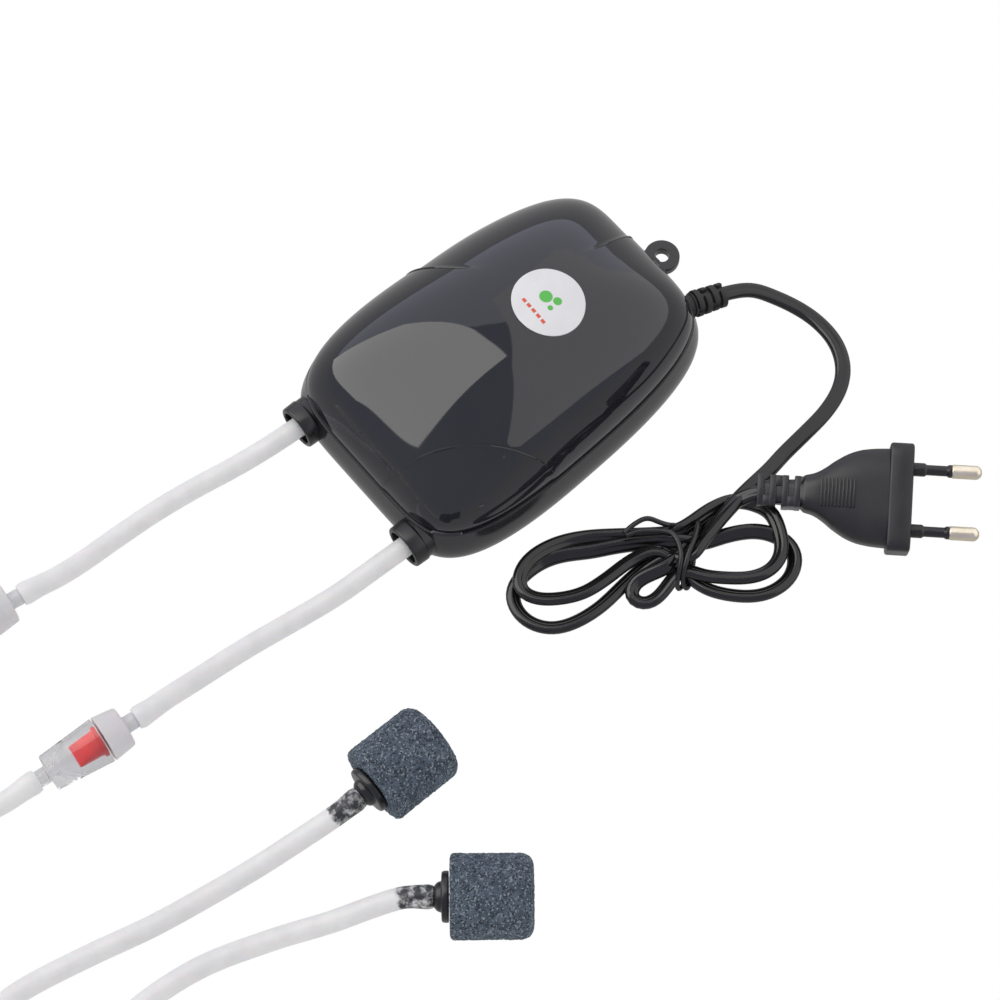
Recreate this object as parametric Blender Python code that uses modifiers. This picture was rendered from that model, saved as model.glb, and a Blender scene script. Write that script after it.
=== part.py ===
"""Aquarium air pump with two outlets: housing, vibrating-arm mechanism, airlines, check valves,
air stones and mains lead.

Frame: +Y points to the rear, where the mains lead leaves; -Y is the outlet end; +Z is up.
The origin is at the middle of the pump's own footprint, on the surface that its feet stand on.
Lengths are in metres.
"""
import bpy
import bmesh
import math
from mathutils import Matrix, Vector

MM = 0.001

# ---------------------------------------------------------------- driving dimensions
GAP = 0.3 * MM                     # clearance between neighbouring pieces

HALF_LENGTH = 55.0 * MM            # housing, middle to end
HALF_WIDTH = 39.5 * MM             # housing, middle to side, half way along
TAPER = 0.086                      # the outlet end is wider and the rear narrower by this share
SIDE_SQUARENESS = 5.7              # superellipse exponents of the housing's outline
END_SQUARENESS = 2.6

FOOT_HEIGHT = 3.0 * MM             # gap between the table and the housing
FOOT_RADIUS = 6.0 * MM
SEAM_HEIGHT = 17.0 * MM            # top of the lower case
TOP_HEIGHT = 48.0 * MM             # crown of the upper case
WALL = 2.0 * MM
FLOOR = 2.0 * MM
SEAM_INSET = 1.6 * MM              # the lower case leans in by this much up to the seam
SEAM_LEDGE = 0.5 * MM              # rim of the lower case that shows around the upper case
BELLY_HEIGHT = 8.0 * MM            # height of the widest line of the lower case
CROWN_FULLNESS = 2.2               # exponents of the upper case's section
CROWN_SHOULDER = 1.6
OUTLINE_STEPS = 48

OUTLET_X = 24.3 * MM               # outlets, left and right of the middle
OUTLET_HEIGHT = 10.2 * MM
COLLAR_RADIUS = 6.6 * MM
COLLAR_WALL = 1.3 * MM
COLLAR_TIP_Y = -58.2 * MM
COLLAR_ROOT_Y = -49.0 * MM

EYELET_RADIUS = 5.3 * MM
EYELET_HOLE = 2.1 * MM
EYELET_Y = 60.4 * MM
EYELET_HEIGHT = 5.6 * MM
EYELET_THICKNESS = 3.0 * MM

BADGE_RADIUS = 10.4 * MM
BADGE_THICKNESS = 0.4 * MM
BADGE_PLACE = (5.3 * MM, 11.0 * MM)

FEET = [(25.0 * MM, -20.0 * MM), (23.0 * MM, 22.0 * MM)]      # right-hand feet, mirrored
SCREWS = [(31.0 * MM, -36.0 * MM), (26.0 * MM, 38.0 * MM)]    # right-hand screws, mirrored
SCREW_RADIUS = 1.2 * MM
SCREW_HEAD_RADIUS = 2.8 * MM
SCREW_HEAD_HEIGHT = 1.6 * MM
SCREW_TOP = 14.0 * MM
BOSS_RADIUS = 3.0 * MM

FILTER_PLACE = (0.0, 5.0 * MM)
INTAKE_RADIUS = 8.0 * MM
FILTER_RADIUS = 9.5 * MM
FILTER_THICKNESS = 2.0 * MM
COVER_THICKNESS = 1.2 * MM

# vibrating-arm mechanism, right-hand side; the left-hand side is its mirror image
ARM_X = 15.3 * MM                  # middle of the arm and of the diaphragm
ARM_WIDTH = 6.0 * MM
ARM_HEIGHT = 23.0 * MM             # underside of the arm
ARM_THICKNESS = 3.0 * MM
PIVOT_Y = -38.0 * MM
PIN_RADIUS = 1.2 * MM
HUB_RADIUS = 3.0 * MM
POST_THICKNESS = 2.5 * MM
MAGNET_SIZE = (14.0 * MM, 5.0 * MM, 12.0 * MM)
MAGNET_Y = 1.5 * MM                # front face of the magnet
AIR_GAP = 1.5 * MM                 # magnet to pole
CORE_LEG = 8.0 * MM                # width of a leg of the core
CORE_YOKE = 7.0 * MM
CORE_STACK = 12.0 * MM             # height of the pile of laminations
CORE_HEIGHT = 15.0 * MM            # underside of the core
YOKE_Y = 26.0 * MM                 # front face of the yoke
BOBBIN_WALL = 1.0 * MM
WINDING_DEPTH = 4.2 * MM

CHAMBER_X = (3.6 * MM, 28.5 * MM)
CHAMBER_Y = (-30.0 * MM, -7.0 * MM)
CHAMBER_WALL = 2.0 * MM
CHAMBER_TOP = 13.5 * MM
VALVE_PLATE = 2.0 * MM
NOZZLE_RADIUS = 2.4 * MM
NOZZLE_BORE = 1.3 * MM
NOZZLE_TIP_Y = -53.6 * MM
DIAPHRAGM_Y = -18.5 * MM
DIAPHRAGM_RADIUS = 10.5 * MM
PORT_RADIUS = 1.4 * MM
FLAP_SIZE = (5.4 * MM, 4.0 * MM, 0.6 * MM)
INLET_HINGE_X = 8.6 * MM           # hinge lines of the two valve flaps
OUTLET_HINGE_X = 22.5 * MM

# airlines, check valves and air stones
AIRLINE_RADIUS = 3.0 * MM
VALVE_AXIS_HEIGHT = 6.9 * MM
VALVE_RADIUS = 6.8 * MM
VALVE_END_RADIUS = 5.4 * MM
VALVE_BODY = 17.2 * MM
VALVE_CAP = 7.2 * MM
VALVE_STUB = 4.2 * MM
STUB_RADIUS = 2.7 * MM
VALVE_WALL = 1.2 * MM
STONE_RADIUS = 11.8 * MM
STONE_LENGTH = 23.0 * MM
STONE_NOZZLE_FLANGE = 7.0 * MM
STONE_STEM_RADIUS = 2.7 * MM
STONE_STEM = 6.5 * MM

# mains lead and plug
LEAD_RADIUS = 2.3 * MM             # half the width of the flat two-core lead
BOOT_PLACE = (18.4 * MM, 54.5 * MM, 10.4 * MM)
BOOT_DIRECTION = (0.26, 0.95, -0.16)
BOOT_START = 1.5 * MM              # first rib, from the wall
BOOT_GRIP = 4.7 * MM               # inner flange, from the wall
BOOT_FLANGE = 1.4 * MM
BOOT_LENGTH = 11.5 * MM
BOOT_RADIUS = 4.0 * MM
BOOT_NECK = 3.2 * MM
PLUG_PLACE = (103.2 * MM, 59.6 * MM)    # middle of the plug's flange
PLUG_TURN = math.radians(45.0)          # heading of the pins, from +X towards +Y
PLUG_RISE = math.radians(3.0)           # its tail rests lower than its flange
PLUG_ROLL = math.radians(15.0)          # the lead's stiffness holds its far side up
PLUG_HEIGHT = 9.7 * MM
PLUG_HALF_WIDTH = 15.6 * MM
PLUG_HALF_THICKNESS = 6.2 * MM
PIN_SPACING = 17.7 * MM
PIN_LENGTH = 19.0 * MM
PLUG_PIN_RADIUS = 2.0 * MM

TURN_STEPS = 18

# ---------------------------------------------------------------- scene and materials
for old in list(bpy.data.objects):
    bpy.data.objects.remove(old, do_unlink=True)

parts = bpy.data.collections.new("aquarium_air_pump")
cutters = bpy.data.collections.new("cutters")
bpy.context.scene.collection.children.link(parts)
bpy.context.scene.collection.children.link(cutters)


def make_material(name, colour, roughness, metallic=0.0):
    made = bpy.data.materials.new(name)
    made.use_nodes = True
    shader = made.node_tree.nodes["Principled BSDF"]
    shader.inputs["Base Color"].default_value = (*colour, 1.0)
    shader.inputs["Roughness"].default_value = roughness
    shader.inputs["Metallic"].default_value = metallic
    made.diffuse_color = (*colour, 1.0)
    return made


GLOSS_GRAPHITE = make_material("gloss_graphite", (0.025, 0.026, 0.034), 0.08)
CASE_GRAPHITE = make_material("case_graphite", (0.030, 0.030, 0.036), 0.22)
BLACK_PLASTIC = make_material("black_plastic", (0.012, 0.012, 0.012), 0.30)
BLACK_RUBBER = make_material("black_rubber", (0.015, 0.015, 0.015), 0.60)
BADGE_WHITE = make_material("badge_white", (0.80, 0.80, 0.79), 0.35)
ZINC_STEEL = make_material("zinc_steel", (0.60, 0.60, 0.58), 0.30, 1.0)
SILICON_STEEL = make_material("silicon_steel", (0.30, 0.30, 0.32), 0.45, 1.0)
COPPER_WIRE = make_material("copper_wire", (0.55, 0.22, 0.09), 0.35, 1.0)
NATURAL_NYLON = make_material("natural_nylon", (0.72, 0.70, 0.62), 0.50)
FERRITE = make_material("ferrite", (0.05, 0.05, 0.055), 0.50)
SILICONE_TUBE = make_material("silicone_tube", (0.78, 0.78, 0.78), 0.40)
VALVE_CLEAR = make_material("valve_clear", (0.85, 0.86, 0.87), 0.10)
VALVE_WHITE = make_material("valve_white", (0.82, 0.82, 0.84), 0.30)
VALVE_RED = make_material("valve_red", (0.75, 0.06, 0.04), 0.35)
MINERAL = make_material("mineral", (0.075, 0.095, 0.125), 0.95)
FILTER_FELT = make_material("filter_felt", (0.70, 0.70, 0.66), 0.95)
LEAD_BLACK = make_material("lead_black", (0.010, 0.010, 0.010), 0.20)
PIN_BRASS = make_material("pin_nickel", (0.70, 0.66, 0.55), 0.22, 1.0)


# ---------------------------------------------------------------- shape helpers
def put(obj, surface, smooth=True):
    """Files an object with the parts and gives it its material."""
    parts.objects.link(obj)
    obj.data.materials.append(surface)
    if smooth and obj.type == "MESH":
        obj.data.shade_smooth()
        obj.data.set_sharp_from_angle(angle=math.radians(35.0))
    return obj


def mesh_object(name, bm):
    mesh = bpy.data.meshes.new(name)
    bm.to_mesh(mesh)
    bm.free()
    return bpy.data.objects.new(name, mesh)


def tool(obj):
    """Files an object with the cutters."""
    cutters.objects.link(obj)
    obj.hide_render = True
    obj.display_type = "WIRE"
    return obj


def box(name, low, high):
    bm = bmesh.new()
    bmesh.ops.create_cube(bm, size=1.0)
    size = [b - a for a, b in zip(low, high)]
    middle = [(a + b) / 2 for a, b in zip(low, high)]
    bmesh.ops.scale(bm, vec=size, verts=bm.verts)
    bmesh.ops.translate(bm, vec=middle, verts=bm.verts)
    return mesh_object(name, bm)


def side_box(name, side, low, high):
    """A box given for the right-hand side, mirrored for side = -1."""
    across = sorted((side * low[0], side * high[0]))
    return box(name, (across[0], low[1], low[2]), (across[1], high[1], high[2]))


def rod(name, start, end, radius, end_radius=None, steps=TURN_STEPS):
    """A solid cylinder or cone between two points."""
    start, end = Vector(start), Vector(end)
    bm = bmesh.new()
    last = radius if end_radius is None else end_radius
    bmesh.ops.create_cone(bm, cap_ends=True, segments=steps, radius1=radius, radius2=last,
                          depth=(end - start).length)
    turn = (end - start).to_track_quat("Z", "Y").to_matrix().to_4x4()
    bmesh.ops.transform(bm, matrix=Matrix.Translation((start + end) / 2) @ turn, verts=bm.verts)
    return mesh_object(name, bm)


def turned(name, profile, place=None, closed=False, steps=TURN_STEPS):
    """A turned solid from (radius, height) points that run down its outer side."""
    mesh = bpy.data.meshes.new(name)
    count = len(profile)
    edges = [(i, i + 1) for i in range(count - 1)]
    if closed:
        edges.append((count - 1, 0))
    mesh.from_pydata([(r, 0.0, z) for r, z in profile], edges, [])
    obj = bpy.data.objects.new(name, mesh)
    screw = obj.modifiers.new("turn", "SCREW")
    screw.axis = "Z"
    screw.steps = steps
    screw.render_steps = steps
    screw.use_merge_vertices = True
    screw.merge_threshold = 0.00005
    if place is not None:
        obj.matrix_world = place
    return obj


def aim(place, direction):
    """The matrix that sends +Z to a direction and the origin to a place."""
    turn = Vector(direction).normalized().to_track_quat("Z", "Y").to_matrix().to_4x4()
    return Matrix.Translation(Vector(place)) @ turn


def boolean(obj, other, operation):
    made = obj.modifiers.new(operation.lower(), "BOOLEAN")
    made.object = other
    made.operation = operation
    made.solver = "EXACT"


def cut(obj, other):
    boolean(obj, tool(other), "DIFFERENCE")


def join(obj, other):
    boolean(obj, tool(other), "UNION")


def bevel(obj, width, segments=2):
    made = obj.modifiers.new("edge", "BEVEL")
    made.width = width
    made.segments = segments
    made.limit_method = "ANGLE"
    made.angle_limit = math.radians(40.0)


def loft(name, rings, cap_start=True, cap_end=True):
    """Joins rings of points, each as long as the next, into one skin."""
    bm = bmesh.new()
    rows = [[bm.verts.new(point) for point in ring] for ring in rings]
    count = len(rows[0])
    for lower, upper in zip(rows, rows[1:]):
        for i in range(count):
            k = (i + 1) % count
            bm.faces.new((lower[i], lower[k], upper[k], upper[i]))
    if cap_start:
        bm.faces.new(list(reversed(rows[0])))
    if cap_end:
        bm.faces.new(rows[-1])
    return mesh_object(name, bm)


def smooth_route(points, spacing):
    """Even points along a smooth curve through the route's own points."""
    path = [Vector(p) for p in points]
    ends = [path[0] * 2 - path[1]] + path + [path[-1] * 2 - path[-2]]
    fine = []
    for i in range(1, len(ends) - 2):
        a, b, c, d = ends[i - 1:i + 3]
        steps = 12
        for k in range(steps):
            t = k / steps
            bend = 2 * a - 5 * b + 4 * c - d
            twist = -a + 3 * b - 3 * c + d
            fine.append(0.5 * (2 * b + (c - a) * t + bend * t ** 2 + twist * t ** 3))
    fine.append(path[-1])
    lengths = [0.0]
    for a, b in zip(fine, fine[1:]):
        lengths.append(lengths[-1] + (b - a).length)
    count = max(2, round(lengths[-1] / spacing))
    out, k = [], 0
    for n in range(count + 1):
        want = lengths[-1] * n / count
        while k < len(lengths) - 2 and lengths[k + 1] < want:
            k += 1
        share = (want - lengths[k]) / max(lengths[k + 1] - lengths[k], 1e-9)
        out.append(fine[k].lerp(fine[k + 1], min(max(share, 0.0), 1.0)))
    return out


def square_ends(route, spacing):
    """A smooth route whose first and last stretches run as its own end points do."""
    route = [Vector(p) for p in route]
    fine = smooth_route(route, spacing)
    ends = (route[0], route[1], route[-2], route[-1])
    inner = [p for p in fine if min((p - end).length for end in ends) > 0.45 * spacing]
    return [route[0], route[1]] + inner + [route[-2], route[-1]]


def tube(name, points, radius, surface, resolution=2):
    """A solid round cord along a POLY spline."""
    curve = bpy.data.curves.new(name, "CURVE")
    curve.dimensions = "3D"
    curve.bevel_depth = radius
    curve.bevel_resolution = resolution
    curve.use_fill_caps = True
    line = curve.splines.new("POLY")
    line.points.add(len(points) - 1)
    for spot, (x, y, z) in zip(line.points, points):
        spot.co = (x, y, max(z, radius), 1.0)
    obj = bpy.data.objects.new(name, curve)
    return put(obj, surface)


# ---------------------------------------------------------------- housing outline and crown
def outline(inset, height, share=1.0, side_power=SIDE_SQUARENESS, end_power=END_SQUARENESS):
    """One level of the housing: a tapered superellipse, drawn in by an inset and scaled."""
    long_half = (HALF_LENGTH - inset) * share
    wide_half = (HALF_WIDTH - inset) * share
    ring = []
    for i in range(OUTLINE_STEPS):
        angle = 2 * math.pi * (i + 0.5) / OUTLINE_STEPS
        across, along = math.cos(angle), math.sin(angle)
        y = long_half * math.copysign(abs(along) ** (2 / end_power), along)
        narrow = 1 - TAPER * y / max(long_half, 1e-6)
        x = wide_half * narrow * math.copysign(abs(across) ** (2 / side_power), across)
        ring.append((x, y, height))
    return ring


def crown_powers(share):
    """The outline's exponents relax to an ellipse towards the crown."""
    side_power = 2.0 + (SIDE_SQUARENESS - 2.0) * share ** 1.5
    end_power = 2.0 + (END_SQUARENESS - 2.0) * share
    return side_power, end_power


def crown_rise(share):
    """Height of the crown above the seam, as a share of its full rise."""
    return (1 - share ** CROWN_FULLNESS) ** (1 / CROWN_SHOULDER)


CROWN_INSET = SEAM_INSET + SEAM_LEDGE
CROWN_BASE = SEAM_HEIGHT + GAP
CROWN_BAND = 1.0 * MM              # upright band at the foot of the upper case


def crown_height(share):
    return CROWN_BASE + CROWN_BAND + (TOP_HEIGHT - CROWN_BASE - CROWN_BAND) * crown_rise(share)


def share_at(x, y):
    """The share of the outline on which a point of the plan lies."""
    low, high = 1e-4, 1.2
    for _ in range(40):
        share = (low + high) / 2
        side_power, end_power = crown_powers(min(share, 1.0))
        along = y / ((HALF_LENGTH - CROWN_INSET) * share)
        narrow = 1 - TAPER * along
        across = x / ((HALF_WIDTH - CROWN_INSET) * share * narrow)
        if abs(along) ** end_power + abs(across) ** side_power > 1:
            low = share
        else:
            high = share
    return share


def crown_at(x, y):
    """Height of the upper case's outer face over a point of the plan."""
    return crown_height(min(share_at(x, y), 1.0))


# ---------------------------------------------------------------- lower case
def make_base_case():
    levels = [
        (2.6 * MM, FOOT_HEIGHT),
        (1.2 * MM, FOOT_HEIGHT + 0.5 * MM),
        (0.4 * MM, FOOT_HEIGHT + 1.6 * MM),
        (0.0, BELLY_HEIGHT),
        (0.5 * SEAM_INSET, (BELLY_HEIGHT + SEAM_HEIGHT) / 2 + 1.0 * MM),
        (SEAM_INSET, SEAM_HEIGHT),
    ]
    base = loft("base_case", [outline(inset, height) for inset, height in levels])
    hollow_levels = [
        (3.2 * MM + WALL, FOOT_HEIGHT + FLOOR),
        (1.0 * MM + WALL, FOOT_HEIGHT + FLOOR + 1.5 * MM),
        (WALL, BELLY_HEIGHT + 1.0 * MM),
        (SEAM_INSET + WALL, SEAM_HEIGHT + 1.0 * MM),
    ]
    cut(base, loft("base_hollow", [outline(inset, height) for inset, height in hollow_levels]))

    ring_low = (0.0, EYELET_Y, EYELET_HEIGHT)
    ring_high = (0.0, EYELET_Y, EYELET_HEIGHT + EYELET_THICKNESS)
    tab = rod("eyelet_disc", ring_low, ring_high, EYELET_RADIUS)
    neck_half = 0.75 * EYELET_RADIUS
    root_y = HALF_LENGTH - WALL
    neck = box("eyelet_neck", (-neck_half, root_y, EYELET_HEIGHT + 0.01 * MM),
               (neck_half, EYELET_Y - 1.0 * MM, EYELET_HEIGHT + EYELET_THICKNESS - 0.01 * MM))
    join(base, tab)
    join(base, neck)
    below, above = Vector((0.0, 0.0, -2.0 * MM)), Vector((0.0, 0.0, 2.0 * MM))
    cut(base, rod("eyelet_hole", Vector(ring_low) + below, Vector(ring_high) + above, EYELET_HOLE))

    inside = FOOT_HEIGHT + FLOOR - 0.5 * MM
    pivot_z = ARM_HEIGHT + ARM_THICKNESS / 2
    arm_half = ARM_WIDTH / 2
    for side in (-1, 1):
        for near in (ARM_X - arm_half - GAP - POST_THICKNESS, ARM_X + arm_half + GAP):
            low = (near, PIVOT_Y - HUB_RADIUS, inside)
            high = (near + POST_THICKNESS, PIVOT_Y + HUB_RADIUS, pivot_z + HUB_RADIUS)
            join(base, side_box("pivot_post", side, low, high))
        low = (ARM_X - CORE_LEG / 2 + 0.5 * MM, YOKE_Y - 8.0 * MM, inside)
        high = (ARM_X + CORE_LEG / 2 - 0.5 * MM, YOKE_Y + CORE_YOKE - 2.0 * MM, CORE_HEIGHT - GAP)
        join(base, side_box("core_cradle", side, low, high))
    reach = ARM_X + 12.0 * MM
    cut(base, rod("pin_hole", (-reach, PIVOT_Y, pivot_z), (reach, PIVOT_Y, pivot_z), PIN_RADIUS + GAP))

    for side in (-1, 1):
        outlet = [(side * OUTLET_X, y, OUTLET_HEIGHT) for y in (COLLAR_TIP_Y, COLLAR_ROOT_Y + 2.0 * MM)]
        cut(base, rod("outlet_hole", *outlet, COLLAR_RADIUS + GAP, steps=32))
        for x, y in SCREWS:
            cut(base, rod("screw_hole", (side * x, y, 0.0), (side * x, y, 9.0 * MM),
                          SCREW_RADIUS + GAP + 0.1 * MM, steps=16))
        for x, y in FEET:
            cut(base, rod("foot_hole", (side * x, y, 0.0), (side * x, y, 9.0 * MM), 2.0 * MM + GAP,
                          steps=16))
    x, y = FILTER_PLACE
    cut(base, rod("intake", (x, y, 0.0), (x, y, 9.0 * MM), INTAKE_RADIUS))
    way = Vector(BOOT_DIRECTION).normalized()
    middle = Vector(BOOT_PLACE)
    cut(base, rod("boot_hole", middle - way * 8.0 * MM, middle + way * 6.0 * MM, BOOT_NECK + GAP))
    put(base, CASE_GRAPHITE)


def make_upper_case():
    shares = [1.0, 0.98, 0.94, 0.88, 0.79, 0.67, 0.51, 0.32, 0.12]
    rings = [outline(CROWN_INSET, CROWN_BASE)]
    for share in shares:
        side_power, end_power = crown_powers(share)
        rings.append(outline(CROWN_INSET, crown_height(share), share, side_power, end_power))
    case = loft("upper_case", rings, cap_start=False)
    shell = case.modifiers.new("wall", "SOLIDIFY")
    shell.thickness = WALL
    shell.offset = -1.0
    shell.use_even_offset = True
    for side in (-1, 1):
        for x, y in SCREWS:
            reach = 1 + BOSS_RADIUS / math.hypot(x, y)
            top = crown_at(x * reach, y * reach) - 0.3 * WALL
            low = (side * x, y, FOOT_HEIGHT + FLOOR + 1.8 * MM)
            join(case, rod("boss", low, (side * x, y, top), BOSS_RADIUS, steps=16))
            below = Vector((0.0, 0.0, -1.0 * MM))
            cut(case, rod("pilot", Vector(low) + below, (side * x, y, SCREW_TOP + 1.0 * MM),
                          SCREW_RADIUS + GAP, steps=16))
    put(case, GLOSS_GRAPHITE)


def make_badge():
    """A thin round label that follows the crown."""
    rows = [[], []]
    rings, steps = 4, 24
    bm = bmesh.new()
    lift = (0.15 * MM, 0.15 * MM + BADGE_THICKNESS)
    for level in (0, 1):
        x, y = BADGE_PLACE
        rows[level].append([bm.verts.new((x, y, crown_at(x, y) + lift[level]))])
        for ring in range(1, rings + 1):
            radius = BADGE_RADIUS * ring / rings
            row = []
            for i in range(steps):
                angle = 2 * math.pi * i / steps
                px, py = x + radius * math.cos(angle), y + radius * math.sin(angle)
                row.append(bm.verts.new((px, py, crown_at(px, py) + lift[level])))
            rows[level].append(row)
    for level in (0, 1):
        for i in range(steps):
            k = (i + 1) % steps
            face = [rows[level][0][0], rows[level][1][i], rows[level][1][k]]
            bm.faces.new(face if level else reversed(face))
            for inner, outer in zip(rows[level][1:], rows[level][2:]):
                face = [inner[i], outer[i], outer[k], inner[k]]
                bm.faces.new(face if level else reversed(face))
    for i in range(steps):
        k = (i + 1) % steps
        bm.faces.new((rows[0][-1][i], rows[0][-1][k], rows[1][-1][k], rows[1][-1][i]))
    put(mesh_object("badge", bm), BADGE_WHITE)


def make_feet_and_screws():
    for side, side_name in ((-1, "left"), (1, "right")):
        for (x, y), end_name in zip(FEET, ("front", "rear")):
            peg = 2.0 * MM
            profile = [(0.0, FOOT_HEIGHT + FLOOR - 0.2 * MM), (peg, FOOT_HEIGHT + FLOOR - 0.2 * MM),
                       (peg, FOOT_HEIGHT - GAP), (FOOT_RADIUS, FOOT_HEIGHT - GAP),
                       (FOOT_RADIUS, 0.8 * MM), (FOOT_RADIUS - 0.8 * MM, 0.0), (0.0, 0.0)]
            place = Matrix.Translation((side * x, y, 0.0))
            put(turned(f"foot_{end_name}_{side_name}", profile, place, steps=20), BLACK_RUBBER)
        for (x, y), end_name in zip(SCREWS, ("front", "rear")):
            under = FOOT_HEIGHT - GAP
            profile = [(0.0, SCREW_TOP), (SCREW_RADIUS - 0.4 * MM, SCREW_TOP),
                       (SCREW_RADIUS, SCREW_TOP - 2.0 * MM), (SCREW_RADIUS, under),
                       (SCREW_HEAD_RADIUS, under), (SCREW_HEAD_RADIUS, under - 0.9 * MM),
                       (SCREW_HEAD_RADIUS - 0.9 * MM, under - SCREW_HEAD_HEIGHT),
                       (0.0, under - SCREW_HEAD_HEIGHT)]
            place = Matrix.Translation((side * x, y, 0.0))
            put(turned(f"case_screw_{end_name}_{side_name}", profile, place, steps=16), ZINC_STEEL)


def make_intake():
    x, y = FILTER_PLACE
    low = FOOT_HEIGHT + FLOOR + GAP
    pad = rod("filter_pad", (x, y, low), (x, y, low + FILTER_THICKNESS), FILTER_RADIUS)
    put(pad, FILTER_FELT)
    top = FOOT_HEIGHT - GAP
    cover = rod("filter_cover", (x, y, top - COVER_THICKNESS), (x, y, top), INTAKE_RADIUS + 3.0 * MM)
    slots, pitch, width = 5, 3.0 * MM, 1.4 * MM
    for i in range(slots):
        slot_x = x + (i - (slots - 1) / 2) * pitch
        half = math.sqrt(max((INTAKE_RADIUS - 0.8 * MM) ** 2 - (slot_x - x) ** 2, 0.0))
        cut(cover, box("slot", (slot_x - width / 2, y - half, 0.0), (slot_x + width / 2, y + half, top + 1.0 * MM)))
    put(cover, BLACK_PLASTIC)


def make_outlets():
    for side, side_name in ((-1, "left"), (1, "right")):
        inner = COLLAR_RADIUS - COLLAR_WALL
        length = COLLAR_ROOT_Y - COLLAR_TIP_Y
        lip = 0.5 * MM
        profile = [(COLLAR_RADIUS, 0.0), (COLLAR_RADIUS, length - lip), (COLLAR_RADIUS - lip, length),
                   (inner, length), (inner, 0.0)]
        profile.reverse()
        place = aim((side * OUTLET_X, COLLAR_ROOT_Y, OUTLET_HEIGHT), (0.0, -1.0, 0.0))
        collar = turned(f"outlet_collar_{side_name}", profile, place, closed=True, steps=24)
        put(collar, BLACK_PLASTIC)


# ---------------------------------------------------------------- mechanism
def make_magnet_drive():
    outer = ARM_X + CORE_LEG / 2
    inner = ARM_X - CORE_LEG / 2
    pole_y = MAGNET_Y + MAGNET_SIZE[1] + AIR_GAP
    back = YOKE_Y + CORE_YOKE
    bm = bmesh.new()
    corners = [(-outer, pole_y), (-inner, pole_y), (-inner, YOKE_Y), (inner, YOKE_Y), (inner, pole_y),
               (outer, pole_y), (outer, back), (-outer, back)]
    face = bm.faces.new([bm.verts.new((x, y, CORE_HEIGHT)) for x, y in corners])
    pulled = bmesh.ops.extrude_face_region(bm, geom=[face])["geom"]
    moved = [item for item in pulled if isinstance(item, bmesh.types.BMVert)]
    bmesh.ops.translate(bm, vec=(0.0, 0.0, CORE_STACK), verts=moved)
    bmesh.ops.recalc_face_normals(bm, faces=bm.faces)
    put(mesh_object("magnet_core", bm), SILICON_STEEL)

    def sleeve(name, half_x, inner_gap, thickness, surface, edge=0.0):
        low_y, high_y = YOKE_Y - inner_gap, back + inner_gap
        low_z, high_z = CORE_HEIGHT - inner_gap, CORE_HEIGHT + CORE_STACK + inner_gap
        body = box(name, (-half_x, low_y - thickness, low_z - thickness),
                   (half_x, high_y + thickness, high_z + thickness))
        if edge:
            bevel(body, edge)
        cut(body, box("window", (-half_x - MM, low_y, low_z), (half_x + MM, high_y, high_z)))
        return put(body, surface)

    bobbin_half = inner - GAP
    bobbin = sleeve("coil_bobbin", bobbin_half, GAP, BOBBIN_WALL, NATURAL_NYLON)
    flange = GAP + BOBBIN_WALL + GAP + WINDING_DEPTH + 0.6 * MM
    for side in (-1, 1):
        ends = sorted((side * bobbin_half, side * (bobbin_half - BOBBIN_WALL)))
        cheek = box("cheek", (ends[0], YOKE_Y - flange, CORE_HEIGHT - flange),
                    (ends[1], back + flange, CORE_HEIGHT + CORE_STACK + flange))
        join(bobbin, cheek)
    window_y = (YOKE_Y - GAP, back + GAP)
    window_z = (CORE_HEIGHT - GAP, CORE_HEIGHT + CORE_STACK + GAP)
    cut(bobbin, box("bobbin_window", (-bobbin_half - MM, window_y[0], window_z[0]),
                    (bobbin_half + MM, window_y[1], window_z[1])))
    sleeve("coil_winding", bobbin_half - BOBBIN_WALL - GAP, GAP + BOBBIN_WALL + GAP, WINDING_DEPTH,
           COPPER_WIRE, edge=1.2 * MM)


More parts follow.
